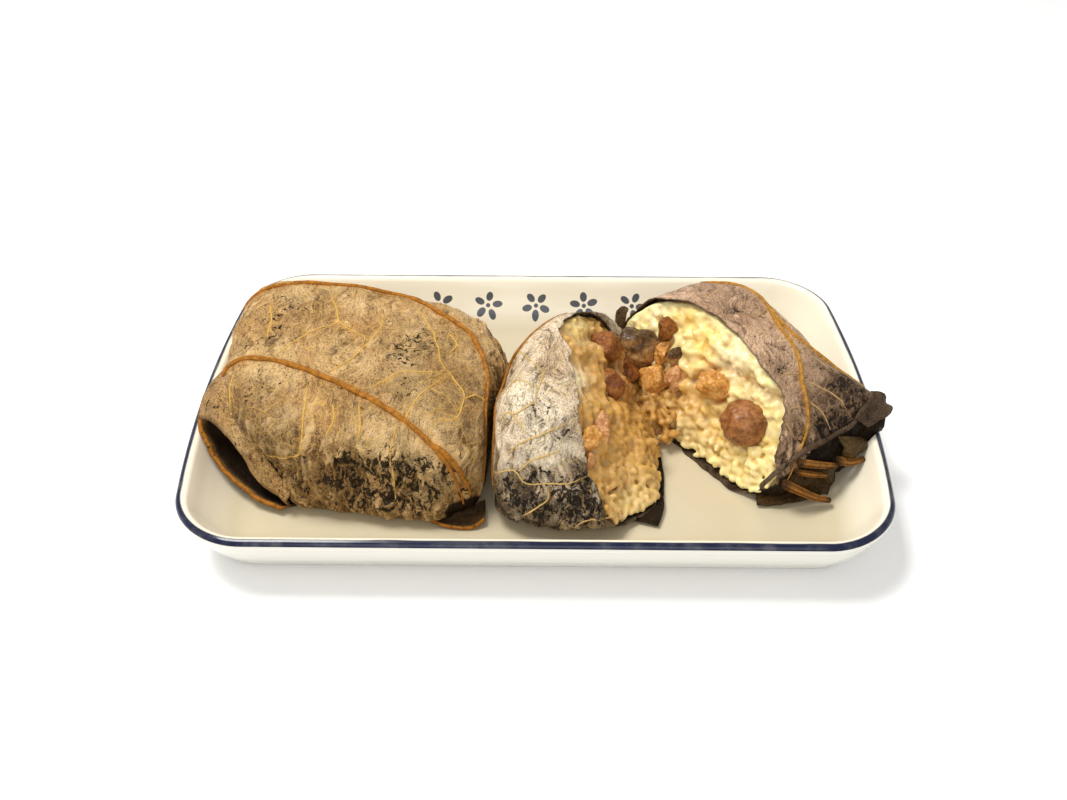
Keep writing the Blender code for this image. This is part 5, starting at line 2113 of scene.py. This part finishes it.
GOLDEN_LEAF = LeafFinish(
    "golden_tan_leaf", (0.72, 0.49, 0.235), (0.38, 0.214, 0.078), (0.085, 0.042, 0.013), (0.50, 0.195, 0.024),
    (0.72, 0.43, 0.10), (0.014, 0.009, 0.004), (0.024, 0.011, 0.004), (0.50, 0.25, 0.085),
)
GREY_LEAF = LeafFinish(
    "grey_tan_leaf", (0.98, 0.84, 0.62), (0.72, 0.55, 0.36), (0.10, 0.058, 0.031), (0.44, 0.18, 0.026),
    (0.66, 0.44, 0.15), (0.012, 0.008, 0.005), (0.022, 0.012, 0.005), (0.56, 0.35, 0.19), speckle=0.55,
)
MAUVE_LEAF = LeafFinish(
    "mauve_brown_leaf", (0.76, 0.50, 0.32), (0.41, 0.25, 0.152), (0.075, 0.042, 0.024), (0.60, 0.29, 0.05),
    (0.50, 0.31, 0.14), (0.012, 0.008, 0.005), (0.022, 0.012, 0.005), (0.38, 0.215, 0.12), speckle=0.5,
)
# Near-black tones: partly the dark folded layers' own colour, partly painted shade in the recess under the tail
# and between the halves.
DARK_LEAF = LeafFinish(
    "dark_folded_leaf", (0.14, 0.074, 0.019), (0.045, 0.022, 0.006), (0.010, 0.005, 0.002),
    (0.42, 0.155, 0.022), (0.12, 0.07, 0.02), (0.010, 0.007, 0.004), (0.022, 0.012, 0.005),
    (0.07, 0.045, 0.014), roughness=0.34,
)
LEAVES = {"golden": GOLDEN_LEAF, "grey": GREY_LEAF, "mauve": MAUVE_LEAF, "dark": DARK_LEAF}
MEATS = {
    MorselKind.PORK: MeatFinish(
        "braised_pork", (0.32, 0.108, 0.018), (0.175, 0.048, 0.007), (0.06, 0.014, 0.003)
    ),
    MorselKind.ORANGE_PORK: MeatFinish(
        "glazed_pork", (0.74, 0.38, 0.10), (0.50, 0.20, 0.032), (0.22, 0.068, 0.009)
    ),
    MorselKind.PINK_PORK: MeatFinish(
        "stewed_pork", (0.62, 0.31, 0.12), (0.42, 0.175, 0.052), (0.18, 0.06, 0.016)
    ),
    MorselKind.MUSHROOM: MeatFinish(
        "shiitake", (0.50, 0.27, 0.09), (0.30, 0.14, 0.042), (0.10, 0.044, 0.015), 1.4, 0.16
    ),
    MorselKind.MEATBALL: MeatFinish(
        "meatball", (0.38, 0.155, 0.048), (0.22, 0.078, 0.020), (0.085, 0.024, 0.007), 2.2
    ),
}

MIDDLE_TINTS = (
    ((28, -2, 27), 13, (0.31, 0.11, 0.009), 0.9), ((36, -6, 18), 9, (0.46, 0.22, 0.03), 0.9),
    ((13, 4, 47), 7, (0.80, 0.60, 0.22), 0.9), ((31, -42, 8), 11, (0.84, 0.64, 0.28), 0.95),
    ((40, 2, 15), 6, (0.60, 0.34, 0.07), 0.8), ((13, -18, 42), 5, (0.86, 0.76, 0.50), 0.75),
    ((40, -28, 12), 8, (0.62, 0.38, 0.10), 0.7),
)
RIGHT_TINTS = (
    ((54, -5, 22), 12, (0.66, 0.36, 0.06), 0.9), ((46, 2, 22), 8, (0.58, 0.29, 0.04), 0.9),
    ((56, 4, 38), 5.5, (0.86, 0.53, 0.06), 0.9), ((49, 12, 43), 4.5, (0.84, 0.54, 0.08), 0.8),
    ((44, 14, 40), 3.5, (0.80, 0.50, 0.08), 0.7), ((40, 8, 18), 7, (0.44, 0.19, 0.03), 0.9),
    ((76, -18, 28), 6, (0.80, 0.54, 0.12), 0.8), ((64, -16, 20), 8, (0.74, 0.46, 0.09), 0.7),
    ((70, -27, 24), 5, (0.82, 0.58, 0.16), 0.7), ((63, -4, 40), 7, (0.90, 0.82, 0.56), 0.7),
    ((38, 20, 42), 6, (0.90, 0.80, 0.52), 0.7), ((72, -12, 36), 5, (0.90, 0.80, 0.5), 0.6),
)
RIGHT_CREASE = ((50.1, -3.1, 28.8), (54, -5, 34.5), (60.6, -8.6, 38.2), (68, -17, 37.5), (77.8, -28.4, 39.2))
WHOLE_SHADE = (
    ((-26, -14, 39), 20, 0.42), ((-18, -30, 30), 16, 0.5), ((-60, -44, 12), 14, 0.3),
    ((-90, -26, 30), 9, 0.25), ((-50, -42, 24), 16, 0.25), ((-86, -34, 30), 18, 0.5),
    ((-74, -38, 26), 12, 0.3), ((-97, -24, 33), 7, 0.5),
)
MIDDLE_SHADE = (
    ((18, 13, 47), 9, 1.0), ((26, 16, 44), 8, 1.0), ((27, 6, 46), 6, 0.9), ((11, -41, 36), 9, 0.5),
)
RIGHT_SHADE = (((94, -14, 38), 15, 0.65), ((100, -18, 30), 12, 0.6), ((84, -26, 28), 12, 0.35))
RIGHT_FOLD = ((106.5, -15.4, 33.5), (70, -36.6, 14.6))

RIGHT_EDGE = (
    (105.6, -14.6, 34.0), (102.6, -18.6, 33.6), (100.3, -20.4, 31.8), (98.2, -22.2, 28.6),
    (92.8, -24.8, 26.6), (88.2, -27.2, 25.4), (83.8, -29.2, 24.8), (78.8, -32.4, 22.8), (74, -34.9, 20.2),
    (69.4, -36.4, 15.0),
)
LOOSE_LEAVES = (
    LooseLeaf(
        "whole_pocket_flap", "golden",
        ((-94, -4, 14), (-91, -12, 10), (-87, -18, 8.5), (-82, -24, 8), (-75, -29, 7.5), (-68, -34, 7.5)),
        (
            (-106.5, -18, 25), (-104.5, -23.5, 21.8), (-101, -28, 17), (-96.5, -32, 13.2), (-88, -38, 10.5),
            (-79, -42, 8.5),
        ),
        bow=-1.5, hem=0.45, inside=(1.0, 1.0), ripple=0.35, seed=3,
    ),
    LooseLeaf(
        "whole_top_layer_lip", "golden",
        ((-99, -8, 36), (-96, -16, 37), (-93, -23, 35), (-88, -30, 31), (-82, -35.5, 24), (-75, -40, 14)),
        (
            (-106, -20, 26), (-102, -22.5, 27), (-97, -25.5, 24), (-91.5, -29.5, 19), (-85, -34.5, 12.5),
            (-76, -40.5, 9),
        ),
        bow=2.0, edge_darkening=0.9, inside=(0.0, 1.0), ripple=0.8, seed=5,
    ),
    LooseLeaf(
        "whole_foot_fold", "golden",
        ((-33, -44, 8.5), (-27, -42, 8), (-20, -40, 8), (-15.5, -38, 9)),
        ((-32, -46, 8), (-27, -47.5, 7), (-20, -48, 6.6), (-15.5, -46, 8.5)),
        bow=-0.6, hem=0.3, inside=(0.9, 1.0), ripple=0.15, seed=6,
    ),
    LooseLeaf(
        "middle_base_flap", "dark",
        ((31, -12, 6.4), (31, -24, 6.4), (29, -34, 6.4), (27, -43, 6.4)),
        ((41, -12, 6.9), (41.3, -26, 6.9), (40.3, -38, 6.9), (38, -46.5, 6.9)),
        ripple=0.5, inside=(0.5, 1.0), seed=8,
    ),
    LooseLeaf(
        "right_standing_strip", "mauve",
        ((27.2, 28.6, 23), (29, 29, 23), (31, 29.6, 23)),
        ((27.4, 30, 33), (29.2, 30.4, 35), (31.2, 30.8, 33.6)),
        bow=0.6, inside=(0.5, 0.6), edge_darkening=0.8, ripple=0.8, seed=10,
    ),
    LooseLeaf(
        "right_tail_under", "dark",
        ((103, -16, 31), (103.5, -17.5, 26), (102, -19.5, 21), (99, -23, 15)),
        ((111.2, -16, 29.8), (109.8, -18.4, 27), (109.2, -19.6, 20.5), (106.5, -21.5, 15)),
        bow=-1.0, ripple=1.6, inside=(0.5, 1.0), seed=12,
    ),
    LooseLeaf(
        "right_tail_edge", "mauve",
        RIGHT_EDGE,
        tuple((x + 0.3, y - 0.8, z - 1.5) for x, y, z in RIGHT_EDGE),
        bow=-0.2, ripple=0.5, edge_darkening=1.0, inside=(1.0, 0.8), seed=13,
    ),
    LooseLeaf(
        "right_tail_tip_curl", "mauve",
        ((105.5, -12.5, 33), (103.4, -18.2, 33), (99.5, -22.2, 29.5)),
        ((109.6, -13.6, 32.6), (112, -17, 29.4), (103.8, -22.6, 26.8)),
        bow=-0.8, ripple=2.6, edge_darkening=1.0, inside=(1.0, 0.85), seed=14,
    ),
    LooseLeaf(
        "right_tail_low_layer", "dark",
        ((70, -29, 7.5), (77, -28, 8), (85, -26, 8.5), (92, -22, 10)),
        ((69.5, -37.2, 7.0), (76.4, -37.4, 6.9), (82.5, -36.2, 7.2), (89.5, -34.6, 7.6)),
        bow=0.8, ripple=1.2, inside=(0.3, 1.0), seed=15,
    ),
    LooseLeaf(
        "right_tail_web", "dark",
        ((81, -32.4, 19.4), (79, -34, 17), (78, -34.8, 14.5), (79, -34.2, 10)),
        ((94, -28.6, 17.4), (94.2, -29.6, 13.6), (92.6, -31.2, 10.8), (91.4, -34.6, 8.8)),
        bow=-0.9, ripple=2.4, edge_darkening=1.0, inside=(1.0, 0.45), seed=17,
    ),
    LooseLeaf(
        "right_tail_loop", "dark",
        ((93.9, -25.6, 25.4), (98.3, -24.4, 24.4), (102.8, -20.6, 21)),
        ((95.9, -28.4, 19), (99.4, -27.4, 17.8), (102.2, -24.4, 17)),
        bow=2.4, ripple=1.2, edge_darkening=1.0, inside=(0.0, 1.0), seed=16,
    ),
)
STEMS = (
    Stem("tail_stem_upper", ((80.5, -33.0, 21.4), (87.8, -32.6, 20), (94.0, -30.8, 18.0)), 1.5),
    Stem("tail_stem_second", ((80.0, -34.4, 18.8), (86.5, -34.2, 17.4), (92.6, -32.4, 15.6)), 1.2),
    Stem(
        "tail_stem_lower",
        ((76, -37.2, 16.8), (81.5, -37.8, 14), (86.7, -37.6, 11), (92.2, -37.4, 9.4)),
        1.7,
    ),
    Stem("tail_stem_outer", ((94.0, -29.4, 19.0), (98.8, -28.8, 17.8), (103.4, -26.6, 17.2)), 1.6),
)


def all_veins(ribs: tuple, radius: float, height: float, branches: tuple) -> tuple:
    """A leaf's ribs, all of one half width and height, and then its branches."""
    strong = tuple(Vein(rib, VeinKind.RIB, radius, height) for rib in ribs)
    return strong + tuple(Vein(branch) for branch in branches)


def build_parcels(plate: Plate, leaves: dict, rice: Material) -> None:
    """Builds the whole parcel, both torn leaves and both bodies of rice.

    Args:
        plate: The plate that it lies on.
        leaves: Leaf materials by name.
        rice: The rice's material.
    """
    whole = Mould(plate, WHOLE_CAGE, 4.0, 3, WHOLE_PULLS, keep_left_of=seam_whole_middle)
    middle = Mould(
        plate, MIDDLE_CAGE, 3.4, 5, keep_right_of=seam_whole_middle, keep_left_of=seam_middle_right,
    )
    right = Mould(plate, RIGHT_CAGE, 3.0, 8, RIGHT_PULLS, keep_right_of=seam_middle_right)
    LOG.info("whole parcel")
    veins = all_veins(WHOLE_RIBS, 0.85, 0.8, WHOLE_BRANCHES)
    skin = LeafSkin(whole, veins, WHOLE_STAINS, 31, 3.2, 1.5, darker_low_and_shade=(33, 20, 0.5), shade=WHOLE_SHADE)
    WholeParcel(skin).build(leaves["golden"])
    middle_tear = Tear(
        middle, (14, 5, 46), (0.84, -0.17, 0.545),
        ((-100, -0.6), (-60, 0), (-31, 3.4), (13, 5.5), (44, 7.5), (58, -0.6), (120, -0.6)),
        (
            (-168, 0.2), (-154, 0.0), (-139, 0.6), (-126, 3.0), (-108, 3.4), (-96, 1.4), (-86, -2), (-60, -4),
            (-38, -2), (-20, 1.5), (13, 3.2), (44, 5.2), (58, 0.4), (120, 0.8),
        ),
        11,
    )
    right_tear = Tear(
        right, (60, 0, 42), (-0.69, -0.585, 0.424), ((-100, -0.6), (100, -0.6)),
        ((-125, 1.5), (-106, -5), (-66, -5), (-48, -1.6), (-16, -1.2), (30, -0.1), (60, 0.8), (120, 1.2)), 12,
    )
    LOG.info("torn leaves")
    veins = all_veins(MIDDLE_RIBS, 0.6, 0.5, MIDDLE_BRANCHES)
    skin = LeafSkin(
        middle, veins, MIDDLE_STAINS, 41, crease_height=1.0, darker_low_and_shade=(45, 28, 0.8), shade=MIDDLE_SHADE,
    )
    TornLeaf(Half.MIDDLE, middle_tear, skin).build(leaves["grey"])
    veins = all_veins(RIGHT_RIBS, 0.65, 0.65, RIGHT_BRANCHES)
    skin = LeafSkin(
        right, veins, RIGHT_STAINS, 51, crease_height=0.9, darker_low_and_shade=(40, 26, 0.55), fold_line=RIGHT_FOLD,
        shade=RIGHT_SHADE,
    )
    TornLeaf(Half.RIGHT, right_tear, skin).build(leaves["mauve"])
    LOG.info("sticky rice")
    bridge = ((36, 8, 16), (43, -6, 11), (2.2, 2.2, 2.4))
    amber, cream = (0.54, 0.285, 0.052), (0.92, 0.75, 0.33)
    StickyRice(Half.MIDDLE, middle_tear, 4, 21, 820, amber, MIDDLE_TINTS, bridge, 0.12).build(rice)
    StickyRice(Half.RIGHT, right_tear, 3, 22, 1000, cream, RIGHT_TINTS, crease=RIGHT_CREASE).build(rice)


def main() -> None:
    """Builds every piece in order."""
    plate = Plate()
    LOG.info("plate")
    plate.build(GlazeFinish().build())
    leaves = {name: leaf.build() for name, leaf in LEAVES.items()}
    rice = RiceFinish("sticky_rice").build()
    build_parcels(plate, leaves, rice)
    LOG.info("loose leaves and stems")
    for flap in LOOSE_LEAVES:
        flap.build(plate, leaves[flap.look])
    for stem in STEMS:
        stem.build(leaves["dark"])
    LOG.info("filling")
    finishes = {kind: meat.build() for kind, meat in MEATS.items()}
    for morsel in FILLING:
        morsel.build(finishes)
    Studio().build()


if __name__ == "__main__":
    logging.basicConfig(level=logging.INFO, format="%(message)s")
    main()
    bpy.context.view_layer.update()
